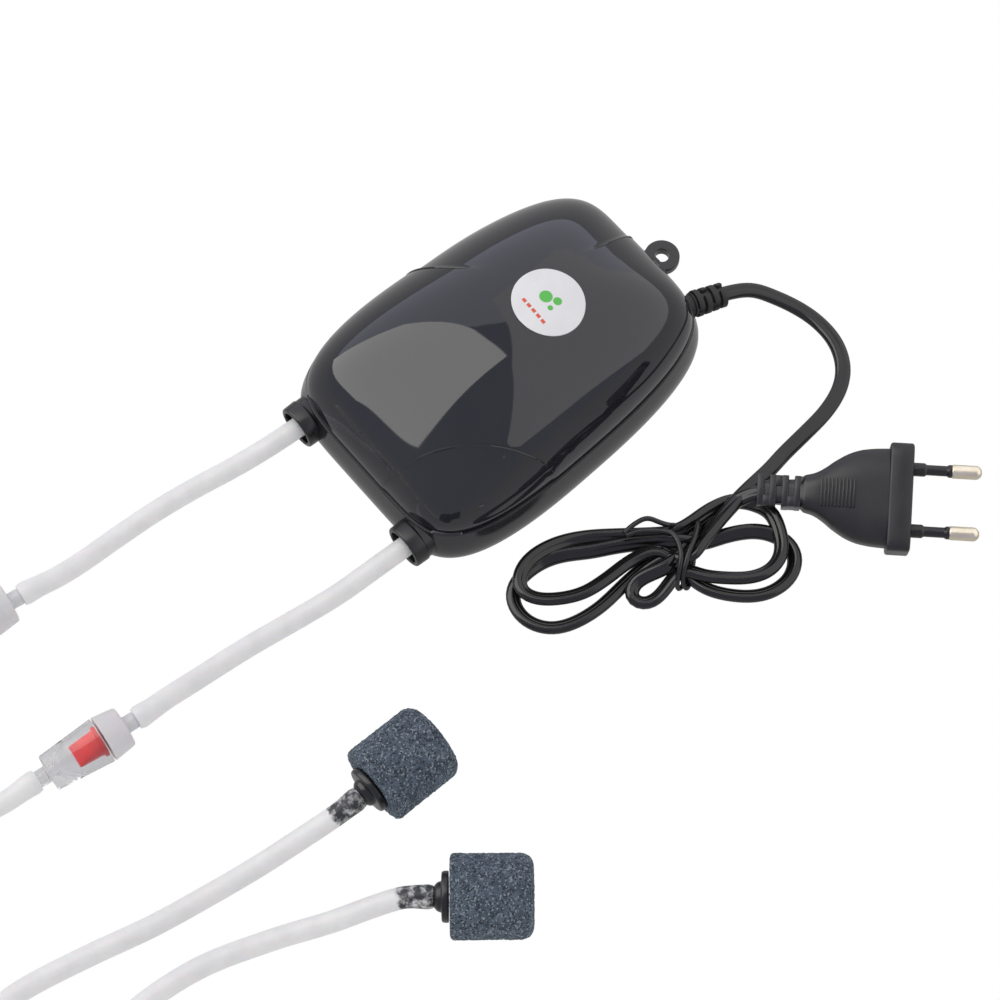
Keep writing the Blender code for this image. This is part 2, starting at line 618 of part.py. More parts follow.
def make_chamber(side, side_name):
    low_z = FOOT_HEIGHT + FLOOR + GAP
    x0, x1 = CHAMBER_X
    y0, y1 = CHAMBER_Y
    wall = CHAMBER_WALL
    chamber = side_box(f"air_chamber_{side_name}", side, (x0, y0, low_z), (x1, y1, CHAMBER_TOP))
    divide = ARM_X
    floor_z = low_z + 1.5 * MM
    high_z = CHAMBER_TOP + MM
    half = 0.5 * 1.6 * MM
    cut(chamber, side_box("inlet_room", side, (x0 + wall, y0 + wall, floor_z), (divide - half, y1 - wall, high_z)))
    cut(chamber, side_box("outlet_room", side, (divide + half, y0 + wall, floor_z), (x1 - wall, y1 - wall, high_z)))
    pipe = (side * OUTLET_X, y0 + 0.5 * wall, OUTLET_HEIGHT)
    tip = (side * OUTLET_X, NOZZLE_TIP_Y, OUTLET_HEIGHT)
    join(chamber, rod("nozzle", pipe, tip, NOZZLE_RADIUS, 0.85 * NOZZLE_RADIUS, steps=16))
    bore_start = (side * OUTLET_X, y0 + wall + MM, OUTLET_HEIGHT)
    bore_end = (side * OUTLET_X, NOZZLE_TIP_Y - MM, OUTLET_HEIGHT)
    cut(chamber, rod("nozzle_bore", bore_start, bore_end, NOZZLE_BORE, steps=12))
    intake = (side * (x0 + divide) / 2, y1, floor_z + 3.0 * MM)
    cut(chamber, rod("intake_bore", Vector(intake) - Vector((0, wall + MM, 0)),
                     Vector(intake) + Vector((0, MM, 0)), PORT_RADIUS, steps=12))
    put(chamber, NATURAL_NYLON)

    plate_low = CHAMBER_TOP + GAP
    plate_high = plate_low + VALVE_PLATE
    plate = side_box(f"valve_plate_{side_name}", side, (x0, y0, plate_low), (x1, y1, plate_high))
    inlet_x = INLET_HINGE_X + 0.55 * FLAP_SIZE[0]
    outlet_x = OUTLET_HINGE_X - 0.55 * FLAP_SIZE[0]
    for port_x in (inlet_x, outlet_x):
        low = (side * port_x, DIAPHRAGM_Y, plate_low - MM)
        high = (side * port_x, DIAPHRAGM_Y, plate_high + MM)
        cut(plate, rod("port", low, high, PORT_RADIUS, steps=12))
    put(plate, NATURAL_NYLON)

    length, width, thick = FLAP_SIZE
    y_low, y_high = DIAPHRAGM_Y - width / 2, DIAPHRAGM_Y + width / 2
    flap = side_box(f"inlet_flap_{side_name}", side, (INLET_HINGE_X, y_low, plate_high + GAP),
                    (INLET_HINGE_X + length, y_high, plate_high + GAP + thick))
    put(flap, BLACK_RUBBER)
    flap = side_box(f"outlet_flap_{side_name}", side, (OUTLET_HINGE_X - length, y_low, plate_low - GAP - thick),
                    (OUTLET_HINGE_X, y_high, plate_low - GAP))
    put(flap, BLACK_RUBBER)

    base = plate_high + GAP
    top = ARM_HEIGHT - GAP
    mid = (base + top) / 2
    skin = 1.2 * MM
    profile = [(0.0, top), (4.0 * MM, top), (4.2 * MM, mid + 0.9 * MM), (6.2 * MM, mid),
               (7.8 * MM, mid + 0.9 * MM), (9.2 * MM, mid), (9.4 * MM, base + skin),
               (DIAPHRAGM_RADIUS, base + skin), (DIAPHRAGM_RADIUS, base), (8.2 * MM, base),
               (8.1 * MM, mid - 0.9 * MM), (7.7 * MM, mid - 0.4 * MM), (6.3 * MM, mid - skin),
               (3.4 * MM, mid - 0.5 * MM), (0.0, mid - 0.5 * MM)]
    place = Matrix.Translation((side * ARM_X, DIAPHRAGM_Y, 0.0))
    put(turned(f"diaphragm_{side_name}", profile, place), BLACK_RUBBER)


def make_arm(side, side_name):
    pivot = Vector((side * ARM_X, PIVOT_Y, ARM_HEIGHT + ARM_THICKNESS / 2))
    axis = bpy.data.objects.new(f"pivot_axis_{side_name}", None)
    axis.location = pivot
    parts.objects.link(axis)
    half = ARM_WIDTH / 2
    plate_y = MAGNET_Y - GAP
    beam_low = (ARM_X - half + 0.02 * MM, PIVOT_Y, ARM_HEIGHT)
    beam_high = (ARM_X + half - 0.02 * MM, plate_y - MM, ARM_HEIGHT + ARM_THICKNESS)
    arm = side_box(f"swing_arm_{side_name}", side, beam_low, beam_high)
    hub = rod("hub", pivot - Vector((half, 0, 0)), pivot + Vector((half, 0, 0)), HUB_RADIUS, steps=20)
    join(arm, hub)
    middle_z = CORE_HEIGHT + CORE_STACK / 2
    holder_half = MAGNET_SIZE[0] / 2 - 0.5 * MM
    holder_low = (ARM_X - holder_half, plate_y - 2.7 * MM, middle_z - MAGNET_SIZE[2] / 2 - 0.5 * MM)
    holder_high = (ARM_X + holder_half, plate_y, middle_z + MAGNET_SIZE[2] / 2 + 0.5 * MM)
    join(arm, side_box("holder", side, holder_low, holder_high))
    cut(arm, rod("hub_bore", pivot - Vector((2 * half, 0, 0)), pivot + Vector((2 * half, 0, 0)),
                 PIN_RADIUS + GAP, steps=16))
    put(arm, BLACK_PLASTIC)

    wide, deep, tall = MAGNET_SIZE
    magnet = side_box(f"arm_magnet_{side_name}", side, (ARM_X - wide / 2, MAGNET_Y, middle_z - tall / 2),
                      (ARM_X + wide / 2, MAGNET_Y + deep, middle_z + tall / 2))
    bevel(magnet, 0.5 * MM)
    put(magnet, FERRITE)
    for piece in (arm, magnet):
        piece.parent = axis
        piece.matrix_parent_inverse = Matrix.Translation(-pivot)

    reach = half + GAP + POST_THICKNESS + 0.8 * MM
    pin = rod(f"pivot_pin_{side_name}", pivot - Vector((reach, 0, 0)), pivot + Vector((reach, 0, 0)),
              PIN_RADIUS, steps=16)
    put(pin, ZINC_STEEL)


# ---------------------------------------------------------------- airlines and what is on them
def make_check_valve(side_name, place, direction):
    """A cone-shaped clear body, its white cap towards the pump, and the red duckbill inside."""
    way = Vector(direction).normalized()
    bore = 1.2 * MM
    inside = VALVE_RADIUS - VALVE_WALL
    shoulder = VALVE_BODY - 2.2 * MM
    body = [(inside, 0.0), (inside - 0.9 * MM, 10.5 * MM), (STUB_RADIUS + 0.4 * MM, shoulder - 1.5 * MM),
            (bore, shoulder), (bore, VALVE_BODY + VALVE_STUB), (STUB_RADIUS - 0.5 * MM, VALVE_BODY + VALVE_STUB),
            (STUB_RADIUS, VALVE_BODY + VALVE_STUB - 1.0 * MM), (STUB_RADIUS, VALVE_BODY),
            (VALVE_END_RADIUS, VALVE_BODY), (VALVE_RADIUS, 0.0)]
    middle = Vector(place)
    put(turned(f"check_valve_body_{side_name}", body, aim(middle, way), closed=True, steps=20), VALVE_CLEAR)

    bottom = VALVE_CAP + VALVE_STUB
    cap = [(STUB_RADIUS - 0.5 * MM, bottom), (STUB_RADIUS, bottom - 1.0 * MM), (STUB_RADIUS, VALVE_CAP),
           (VALVE_RADIUS - 1.1 * MM, VALVE_CAP), (VALVE_RADIUS, GAP), (bore, GAP), (bore, bottom)]
    put(turned(f"check_valve_cap_{side_name}", cap, aim(middle, -way), closed=True, steps=20), VALVE_WHITE)

    red = 3.6 * MM
    duckbill = [(0.0, 9.0 * MM), (red - 1.1 * MM, 9.0 * MM), (red, 1.2 * MM), (red + 0.9 * MM, 1.2 * MM),
                (red + 0.9 * MM, 0.0), (bore, 0.0), (bore, 4.0 * MM), (0.0, 5.0 * MM)]
    put(turned(f"check_valve_duckbill_{side_name}", duckbill, aim(middle, way), steps=16), VALVE_RED)


def make_air_stone(side_name, near_end, direction):
    way = Vector(direction).normalized()
    near = Vector(near_end)
    edge, curve = 1.2 * MM, 3.6 * MM
    profile = [(0.0, STONE_LENGTH), (STONE_RADIUS - curve, STONE_LENGTH),
               (STONE_RADIUS - 0.3 * curve, STONE_LENGTH - 0.3 * curve), (STONE_RADIUS, STONE_LENGTH - curve),
               (STONE_RADIUS, edge), (STONE_RADIUS - edge, 0.0), (0.0, 0.0)]
    put(turned(f"air_stone_{side_name}", profile, aim(near, way), steps=24), MINERAL)
    flange, lip = STONE_NOZZLE_FLANGE, 2.0 * MM
    stem = lip + STONE_STEM
    nozzle = [(0.0, stem), (STONE_STEM_RADIUS, stem), (STONE_STEM_RADIUS, lip + 1.6 * MM),
              (STONE_STEM_RADIUS + 1.4 * MM, lip + 0.6 * MM), (flange - 0.6 * MM, lip), (flange, lip - 0.6 * MM),
              (flange, 0.0), (0.0, 0.0)]
    put(turned(f"stone_nozzle_{side_name}", nozzle, aim(near - way * GAP, -way)), BLACK_PLASTIC)
    return near - way * (GAP + stem)


def make_coil(name, place, middle_radius, surface):
    """The outer shape of a round coil: two turns beside each other and one on top."""
    step = 2 * AIRLINE_RADIUS
    profile = [(middle_radius + 1.15 * AIRLINE_RADIUS, 1.9 * step), (middle_radius + 1.05 * step, 0.55 * step),
               (middle_radius + 1.05 * step, 0.0), (middle_radius - 1.05 * step, 0.0),
               (middle_radius - 1.05 * step, 0.55 * step), (middle_radius - 1.15 * AIRLINE_RADIUS, 1.9 * step)]
    put(turned(name, profile, Matrix.Translation((*place, 0.0)), closed=True, steps=32), surface)


def clear_of_ring(points, centre, outer_radius, cord_radius):
    """The part of a route that stays outside a coil's ring."""
    limit = outer_radius + cord_radius + GAP
    return [p for p in points if math.hypot(p[0] - centre[0], p[1] - centre[1]) >= limit]


# Routes lie on the table; the points of each stretch were chosen by hand.
OUTLET_ROUTES = {
    "left": [(-24.5, -60.0, 10.0), (-25.6, -68.0, 8.6), (-28.0, -78.0, 5.6), (-30.8, -90.0, 3.6),
             (-32.6, -104.0, 3.05), (-33.2, -118.0, 3.05), (-33.2, -129.0, 3.7), (-33.2, -138.0, 5.6)],
    "right": [(24.1, -60.0, 10.0), (23.2, -69.0, 8.2), (21.6, -80.0, 4.8), (19.4, -93.0, 3.1),
              (17.4, -107.0, 3.05), (16.2, -119.0, 3.05), (15.9, -128.0, 4.3), (15.7, -135.5, 5.8)],
}
VALVE_MIDDLES = {"left": (-36.0, -159.4, 6.9), "right": (14.4, -156.8, 6.9)}
VALVE_WAYS = {"left": (-0.13, -1.0, 0.0), "right": (-0.10, -1.0, 0.0)}
COIL_MIDDLES = {"left": (-72.0, -240.0), "right": (29.0, -262.0)}
COIL_RADII = {"left": 31.5, "right": 34.0}
SUPPLY_ROUTES = {
    "left": [(-41.5, -190.7, 5.6), (-46.3, -198.4, 3.8), (-54.2, -203.8, 3.05),
             (-63.0, -205.4, 3.05), (-72.0, -205.4, 3.05)],
    "right": [(11.2, -188.0, 5.5), (7.0, -202.0, 3.4), (1.0, -214.0, 3.05),
              (-4.6, -228.0, 3.05), (-7.6, -244.0, 3.05), (-8.2, -262.0, 3.05)],
}
RETURN_ROUTES = {
    "left": [(-72.0, -271.5, 8.6), (-58.0, -271.8, 9.6), (-46.0, -273.5, 8.6), (-34.0, -278.5, 5.4),
             (-21.0, -290.0, 3.4), (-5.0, -301.0, 3.05), (18.0, -307.4, 3.05), (44.0, -306.0, 3.05),
             (68.0, -295.0, 3.05), (83.0, -275.0, 3.05), (87.5, -250.0, 3.05), (84.0, -222.0, 3.05),
             (79.5, -198.0, 3.05), (81.0, -176.0, 3.05), (87.5, -156.0, 3.2), (94.5, -141.0, 5.6),
             (98.8, -131.5, 9.0)],
    "right": [(63.0, -262.0, 8.6), (62.6, -248.0, 9.6), (60.6, -238.0, 8.4), (57.0, -228.0, 5.2),
              (55.6, -216.0, 3.2), (59.5, -196.0, 3.05), (64.0, -178.0, 3.05), (67.2, -160.0, 3.3),
              (69.8, -146.0, 5.2), (72.2, -132.5, 8.8)],
}
STONES = {
    "left": ((111.0, -113.0, 11.85), (0.637, 0.771, 0.0)),
    "right": ((74.0, -109.6, 11.85), (0.0, 1.0, 0.0)),
}


def metres(points):
    return [(x * MM, y * MM, z * MM) for x, y, z in points]


def lead_in(end, way):
    """The last two points of a tube that meets an end squarely, coming along a direction."""
    way = Vector(way).normalized()
    last = Vector(end) - way * GAP
    return [tuple(last - way * 1.6 * AIRLINE_RADIUS), tuple(last)]


def make_airlines():
    for side, side_name in ((-1, "left"), (1, "right")):
        spacing = 5.0 * AIRLINE_RADIUS
        way = Vector(VALVE_WAYS[side_name]).normalized()
        middle = Vector(metres([VALVE_MIDDLES[side_name]])[0])
        make_check_valve(side_name, middle, way)
        start = (side * OUTLET_X, NOZZLE_TIP_Y - GAP, OUTLET_HEIGHT)
        inlet = middle - way * (VALVE_CAP + VALVE_STUB)
        outlet = [start] + metres(OUTLET_ROUTES[side_name]) + lead_in(inlet, way)
        tube(f"airline_outlet_{side_name}", square_ends(outlet, spacing), AIRLINE_RADIUS, SILICONE_TUBE)

        centre = tuple(value * MM for value in COIL_MIDDLES[side_name])
        radius = COIL_RADII[side_name] * MM
        outer = radius + 1.05 * 2 * AIRLINE_RADIUS
        leave = lead_in(middle + way * (VALVE_BODY + VALVE_STUB), -way)
        supply = smooth_route(leave[::-1] + metres(SUPPLY_ROUTES[side_name]), 1.0 * MM)
        supply = clear_of_ring(supply, centre, outer, AIRLINE_RADIUS)
        tube(f"airline_supply_{side_name}", square_ends(supply, spacing), AIRLINE_RADIUS, SILICONE_TUBE)
        make_coil(f"airline_coil_{side_name}", centre, radius, SILICONE_TUBE)
        near, way = STONES[side_name]
        stem_end = make_air_stone(side_name, metres([near])[0], way)
        back = metres(RETURN_ROUTES[side_name]) + lead_in(stem_end, way)
        back = clear_of_ring(smooth_route(back, 1.0 * MM), centre, outer, AIRLINE_RADIUS)
        tube(f"airline_stone_{side_name}", square_ends(back, spacing), AIRLINE_RADIUS, SILICONE_TUBE)


# ---------------------------------------------------------------- mains lead and plug
LEAD_ROUTE = [(25.2, 73.6, 7.2), (30.6, 78.1, 4.8), (37.1, 81.7, 2.9), (44.1, 83.3, 2.4), (52.0, 82.8, 2.4),
              (59.2, 79.4, 2.4), (64.2, 73.6, 2.4), (67.2, 65.2, 2.4), (68.5, 55.2, 2.4), (69.5, 46.0, 2.6),
              (70.4, 37.0, 3.6), (71.0, 29.0, 4.8), (71.8, 21.6, 6.2)]
HANK_MIDDLE = (76.0, 4.0)
HANK_TURN = math.radians(50.0)
HANK_TOP = 9.0 * MM
HANK_LOBES = [(-29.0, -10.0, 24.0, 16.0), (14.5, -2.0, 17.5, 14.0)]   # middle u, v and half sizes
HANK_WAIST = 7.5
TIE_WIDTH = 3.0 * MM
TIE_THICKNESS = 1.2 * MM


def hank_point(u, v, z):
    """A point of the hank's own frame: u along it, v across it, in millimetres."""
    cos, sin = math.cos(HANK_TURN), math.sin(HANK_TURN)
    return (HANK_MIDDLE[0] + u * cos - v * sin) * MM, (HANK_MIDDLE[1] + u * sin + v * cos) * MM, z


def make_hank():
    """Two round-ended lobes and the waist that the tie draws together, as one outline."""
    left, right = HANK_LOBES
    waist = TIE_WIDTH / MM / 2 + 0.8
    points = []
    for i in range(15):
        angle = math.radians(62.0 + 236.0 * i / 14)
        points.append((left[0] + left[2] * math.cos(angle), left[1] + left[3] * math.sin(angle)))
    points += [(-waist, -HANK_WAIST), (waist, -HANK_WAIST)]
    for i in range(13):
        angle = math.radians(-118.0 + 236.0 * i / 12)
        points.append((right[0] + right[2] * math.cos(angle), right[1] + right[3] * math.sin(angle)))
    points += [(waist, HANK_WAIST), (-waist, HANK_WAIST)]
    rings = [[hank_point(u, v, z) for u, v in points] for z in (0.05 * MM, HANK_TOP)]
    hank = loft("mains_hank", rings)
    notch_half = 0.5 * TIE_WIDTH + GAP
    notch = box("tie_notch", (-notch_half, -20.0 * MM, -MM),
                (notch_half, 20.0 * MM, TIE_THICKNESS + 2 * GAP))
    notch.matrix_world = Matrix.Translation(hank_point(0.0, 0.0, 0.0)) @ Matrix.Rotation(HANK_TURN, 4, "Z")
    cut(hank, notch)
    put(hank, LEAD_BLACK)

    half = HANK_WAIST * MM + 2 * GAP
    side = TIE_THICKNESS
    tie = box("twist_tie", (-TIE_WIDTH / 2, -half - side, 0.05 * MM),
              (TIE_WIDTH / 2, half + side, HANK_TOP + GAP + side))
    window = box("tie_window", (-TIE_WIDTH, -half, TIE_THICKNESS), (TIE_WIDTH, half, HANK_TOP + GAP))
    cut(tie, window)
    for piece in (tie, window):
        piece.matrix_world = notch.matrix_world
    put(tie, BLACK_PLASTIC)


def make_boot():
    """Ribbed strain relief: a flange inside the wall, a neck through it and ribs outside."""
    rib_count = 4
    start = BOOT_START
    pitch = (BOOT_LENGTH - start) / rib_count
    groove = 2.7 * MM
    profile = [(0.0, BOOT_LENGTH)]
    for i in reversed(range(rib_count)):
        low = start + i * pitch
        radius = BOOT_RADIUS - 0.12 * MM * i
        profile.append((radius, low + pitch if i == rib_count - 1 else low + 0.72 * pitch))
        profile.append((radius, low))
        if i:
            profile.append((groove, low))
            profile.append((groove, low - 0.28 * pitch))
    flange = BOOT_RADIUS + 0.5 * MM
    profile += [(BOOT_NECK, start), (BOOT_NECK, -BOOT_GRIP), (flange, -BOOT_GRIP),
                (flange, -BOOT_GRIP - BOOT_FLANGE), (0.0, -BOOT_GRIP - BOOT_FLANGE)]
    put(turned("cord_boot", profile, aim(BOOT_PLACE, BOOT_DIRECTION)), BLACK_RUBBER)


def make_lead():
    way = Vector(BOOT_DIRECTION).normalized()
    out = Vector(BOOT_PLACE) + way * (BOOT_LENGTH + GAP)
    route = [tuple(out), tuple(out + way * 2.0 * MM)] + metres(LEAD_ROUTE)
    tube("mains_lead", square_ends(route, 2.6 * 2 * LEAD_RADIUS), LEAD_RADIUS, LEAD_BLACK)
    inner = Vector(BOOT_PLACE) - way * (BOOT_GRIP + BOOT_FLANGE + GAP)
    bobbin_back = YOKE_Y + CORE_YOKE + GAP + BOBBIN_WALL + GAP + WINDING_DEPTH + 0.6 * MM
    end = Vector((ARM_X - CORE_LEG / 2 - 1.4 * MM, bobbin_back + 1.7 * MM, 13.0 * MM))
    route = [tuple(inner), tuple(inner - way * 1.5 * MM), tuple(end + Vector((1.5 * MM, 0.0, 0.0))), tuple(end)]
    tube("inner_lead", square_ends(route, 3.0 * MM), 1.3 * MM, LEAD_BLACK)


def plug_section(along, half_width, half_height, power=3.2, steps=20):
    ring = []
    for i in range(steps):
        angle = 2 * math.pi * (i + 0.5) / steps
        a, b = math.cos(angle), math.sin(angle)
        across = half_width * math.copysign(abs(a) ** (2 / power), a)
        up = half_height * math.copysign(abs(b) ** (2 / power), b)
        ring.append((along, across, up))
    return ring


def make_plug():
    """A flat two-pin plug that lies on its side, its pins along PLUG_TURN."""
    place = (Matrix.Translation((*PLUG_PLACE, PLUG_HEIGHT)) @ Matrix.Rotation(PLUG_TURN, 4, "Z")
             @ Matrix.Rotation(-PLUG_RISE, 4, "Y") @ Matrix.Rotation(PLUG_ROLL, 4, "X"))
    flange_half = 3.2 * MM
    wide, thick = PLUG_HALF_WIDTH, PLUG_HALF_THICKNESS
    stations = [(-40.5, 0.17, 0.45), (-30.0, 0.21, 0.62), (-27.0, 0.32, 0.72), (-23.5, 0.36, 0.80),
                (-19.0, 0.58, 0.88), (-14.0, 0.77, 0.93), (-9.0, 0.86, 0.95), (-3.4, 0.88, 0.95),
                (-3.2, 1.0, 1.0), (2.6, 1.0, 1.0), (3.2, 0.97, 0.95)]
    rings = [plug_section(s * MM, w * wide, h * thick) for s, w, h in stations]
    plug = loft("plug_body", rings)
    plug.matrix_world = place
    put(plug, BLACK_PLASTIC)
    for side, name in ((-1, "near"), (1, "far")):
        start = flange_half + GAP
        profile = [(0.0, start + PIN_LENGTH), (0.55 * PLUG_PIN_RADIUS, start + PIN_LENGTH),
                   (PLUG_PIN_RADIUS, start + PIN_LENGTH - 1.1 * MM), (PLUG_PIN_RADIUS, start + 9.5 * MM),
                   (0.93 * PLUG_PIN_RADIUS, start + 9.2 * MM), (0.93 * PLUG_PIN_RADIUS, start + 4.0 * MM),
                   (1.12 * PLUG_PIN_RADIUS, start + 4.0 * MM), (1.12 * PLUG_PIN_RADIUS, start), (0.0, start)]
        spot = place @ Matrix.Translation((0.0, side * PIN_SPACING / 2, 0.0))
        turn = Matrix.Rotation(math.radians(90.0), 4, "Y")
        put(turned(f"plug_pin_{name}", profile, spot @ turn, steps=16), PIN_BRASS)


# ---------------------------------------------------------------- assembly
make_base_case()
make_upper_case()
make_badge()
make_feet_and_screws()
make_intake()
make_outlets()
make_magnet_drive()
for hand, hand_name in ((-1, "left"), (1, "right")):
    make_chamber(hand, hand_name)
    make_arm(hand, hand_name)
make_airlines()
make_boot()
make_lead()
make_hank()
make_plug()

# The origin moves to the middle of the length from the collars' mouths to the eyelet.
frame_shift = -(EYELET_Y + EYELET_RADIUS + COLLAR_TIP_Y) / 2
for piece in list(parts.objects) + list(cutters.objects):
    if piece.parent is None:
        piece.location.y += frame_shift
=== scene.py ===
"""Looks of the two-outlet aquarium air pump: housing, airlines with check valves and air stones,
and the folded mains lead with its plug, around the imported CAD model.

Shapes are worked out in millimetres from the middle of the housing and placed with row().
"""
import math

import bmesh
import bpy
from mathutils import Matrix, Vector, noise


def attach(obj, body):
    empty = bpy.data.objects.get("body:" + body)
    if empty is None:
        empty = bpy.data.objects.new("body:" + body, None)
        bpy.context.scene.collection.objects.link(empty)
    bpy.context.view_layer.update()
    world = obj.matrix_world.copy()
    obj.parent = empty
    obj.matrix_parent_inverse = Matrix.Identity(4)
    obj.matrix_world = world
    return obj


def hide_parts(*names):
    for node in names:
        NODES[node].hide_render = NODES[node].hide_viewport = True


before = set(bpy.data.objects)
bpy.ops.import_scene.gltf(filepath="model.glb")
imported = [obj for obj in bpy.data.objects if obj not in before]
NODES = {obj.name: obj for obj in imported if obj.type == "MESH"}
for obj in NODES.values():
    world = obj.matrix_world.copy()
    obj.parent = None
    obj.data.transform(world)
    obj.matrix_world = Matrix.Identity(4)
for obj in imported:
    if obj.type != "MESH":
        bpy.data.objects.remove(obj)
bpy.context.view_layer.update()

MM = 0.001
SHIFT_Y = -3.75                    # middle of the housing to the frame's origin


def row(point):
    """A point in millimetres from the middle of the housing, as metres of the frame."""
    return Vector((point[0] * MM, (point[1] + SHIFT_Y) * MM, point[2] * MM))


# ---------------------------------------------------------------- shader groups
def new_group(name, inputs, outputs):
    tree = bpy.data.node_groups.new(name, "ShaderNodeTree")
    for label, kind, value in inputs:
        socket = tree.interface.new_socket(name=label, in_out="INPUT", socket_type=kind)
        socket.default_value = value
    for label, kind in outputs:
        tree.interface.new_socket(name=label, in_out="OUTPUT", socket_type=kind)
    start = tree.nodes.new("NodeGroupInput")
    end = tree.nodes.new("NodeGroupOutput")
    return tree, start, end


def noise_node(tree, vector, scale, detail=3.0, rough=0.5):
    made = tree.nodes.new("ShaderNodeTexNoise")
    made.inputs["Detail"].default_value = detail
    made.inputs["Roughness"].default_value = rough
    tree.links.new(vector, made.inputs["Vector"])
    feed(tree, scale, made.inputs["Scale"])
    return made.outputs["Fac"]


def feed(tree, value, socket):
    """Links a socket, or sets a plain value."""
    if isinstance(value, bpy.types.NodeSocket):
        tree.links.new(value, socket)
    else:
        socket.default_value = value


def math_node(tree, operation, first, second=0.0, clamp=False):
    made = tree.nodes.new("ShaderNodeMath")
    made.operation = operation
    made.use_clamp = clamp
    feed(tree, first, made.inputs[0])
    feed(tree, second, made.inputs[1])
    return made.outputs[0]


def spread(tree, value, low, high, to_low=0.0, to_high=1.0):
    """Maps a range of a value smoothly onto another."""
    made = tree.nodes.new("ShaderNodeMapRange")
    made.interpolation_type = "SMOOTHSTEP"
    feed(tree, value, made.inputs["Value"])
    feed(tree, low, made.inputs["From Min"])
    feed(tree, high, made.inputs["From Max"])
    feed(tree, to_low, made.inputs["To Min"])
    feed(tree, to_high, made.inputs["To Max"])
    return made.outputs["Result"]


def mix_colours(tree, share, first, second):
    made = tree.nodes.new("ShaderNodeMix")
    made.data_type = "RGBA"
    feed(tree, share, made.inputs[0])
    feed(tree, first, made.inputs[6])
    feed(tree, second, made.inputs[7])
    return made.outputs[2]


def object_vector(tree, stretch=(1.0, 1.0, 1.0), place=(0.0, 0.0, 0.0), turn=(0.0, 0.0, 0.0)):
    coordinates = tree.nodes.new("ShaderNodeTexCoord")
    mapping = tree.nodes.new("ShaderNodeMapping")
    mapping.inputs["Scale"].default_value = stretch
    mapping.inputs["Location"].default_value = place
    mapping.inputs["Rotation"].default_value = turn
    tree.links.new(coordinates.outputs["Object"], mapping.inputs["Vector"])
    return mapping.outputs["Vector"]


def make_moulding_group():
    """Mottled colour, uneven gloss and a fine surface texture of a moulded or cast piece."""
    tree, start, end = new_group(
        "moulded_surface",
        [("Colour", "NodeSocketColor", (0.5, 0.5, 0.5, 1)),
         ("Mottle Colour", "NodeSocketColor", (0.4, 0.4, 0.4, 1)),
         ("Mottle Scale", "NodeSocketFloat", 60.0),
         ("Texture Scale", "NodeSocketFloat", 1500.0),
         ("Gloss Low", "NodeSocketFloat", 0.2),
         ("Gloss High", "NodeSocketFloat", 0.4)],
        [("Colour", "NodeSocketColor"), ("Roughness", "NodeSocketFloat"), ("Height", "NodeSocketFloat")])
    vector = object_vector(tree)
    mottle = spread(tree, noise_node(tree, vector, start.outputs["Mottle Scale"], 5.0, 0.6), 0.35, 0.68)
    colour = mix_colours(tree, mottle, start.outputs["Colour"], start.outputs["Mottle Colour"])
    texture = noise_node(tree, vector, start.outputs["Texture Scale"], 3.0, 0.55)
    patch = noise_node(tree, vector, math_node(tree, "MULTIPLY", start.outputs["Mottle Scale"], 0.7), 2.0)
    gloss = spread(tree, patch, 0.3, 0.7, start.outputs["Gloss Low"], start.outputs["Gloss High"])
    tree.links.new(colour, end.inputs["Colour"])
    tree.links.new(gloss, end.inputs["Roughness"])
    tree.links.new(texture, end.inputs["Height"])
    return tree


def make_handling_group():
    """Hair-fine rub marks from handling and a scatter of dust specks."""
    tree, start, end = new_group(
        "handling_marks",
        [("Mark Scale", "NodeSocketFloat", 220.0), ("Speck Scale", "NodeSocketFloat", 700.0)],
        [("Marks", "NodeSocketFloat"), ("Specks", "NodeSocketFloat")])
    along = object_vector(tree, stretch=(1.0, 14.0, 1.0), turn=(0.0, 0.0, 0.6))
    marks = spread(tree, noise_node(tree, along, start.outputs["Mark Scale"], 2.0), 0.66, 0.78)
    cells = tree.nodes.new("ShaderNodeTexVoronoi")
    tree.links.new(object_vector(tree), cells.inputs["Vector"])
    tree.links.new(start.outputs["Speck Scale"], cells.inputs["Scale"])
    specks = spread(tree, cells.outputs["Distance"], 0.10, 0.04)
    tree.links.new(marks, end.inputs["Marks"])
    tree.links.new(specks, end.inputs["Specks"])
    return tree


MOULDING = make_moulding_group()
HANDLING = make_handling_group()


# ---------------------------------------------------------------- materials
def start_material(name, **plain):
    made = bpy.data.materials.new(name)
    made.use_nodes = True
    tree = made.node_tree
    shader = tree.nodes["Principled BSDF"]
    for label, value in plain.items():
        shader.inputs[label.replace("_", " ")].default_value = value
    return made, tree, shader


def place_group(tree, group, **values):
    made = tree.nodes.new("ShaderNodeGroup")
    made.node_tree = group
    for label, value in values.items():
        feed(tree, value, made.inputs[label.replace("_", " ")])
    return made


def add_bump(tree, shader, height, strength, distance):
    bump = tree.nodes.new("ShaderNodeBump")
    bump.inputs["Strength"].default_value = strength
    bump.inputs["Distance"].default_value = distance
    tree.links.new(height, bump.inputs["Height"])
    tree.links.new(bump.outputs["Normal"], shader.inputs["Normal"])


def dress(tree, shader, colour, rough, height, strength, distance):
    """Joins a colour, a roughness and a bump height to a material's shader."""
    tree.links.new(colour, shader.inputs["Base Color"])
    tree.links.new(rough, shader.inputs["Roughness"])
    add_bump(tree, shader, height, strength, distance)


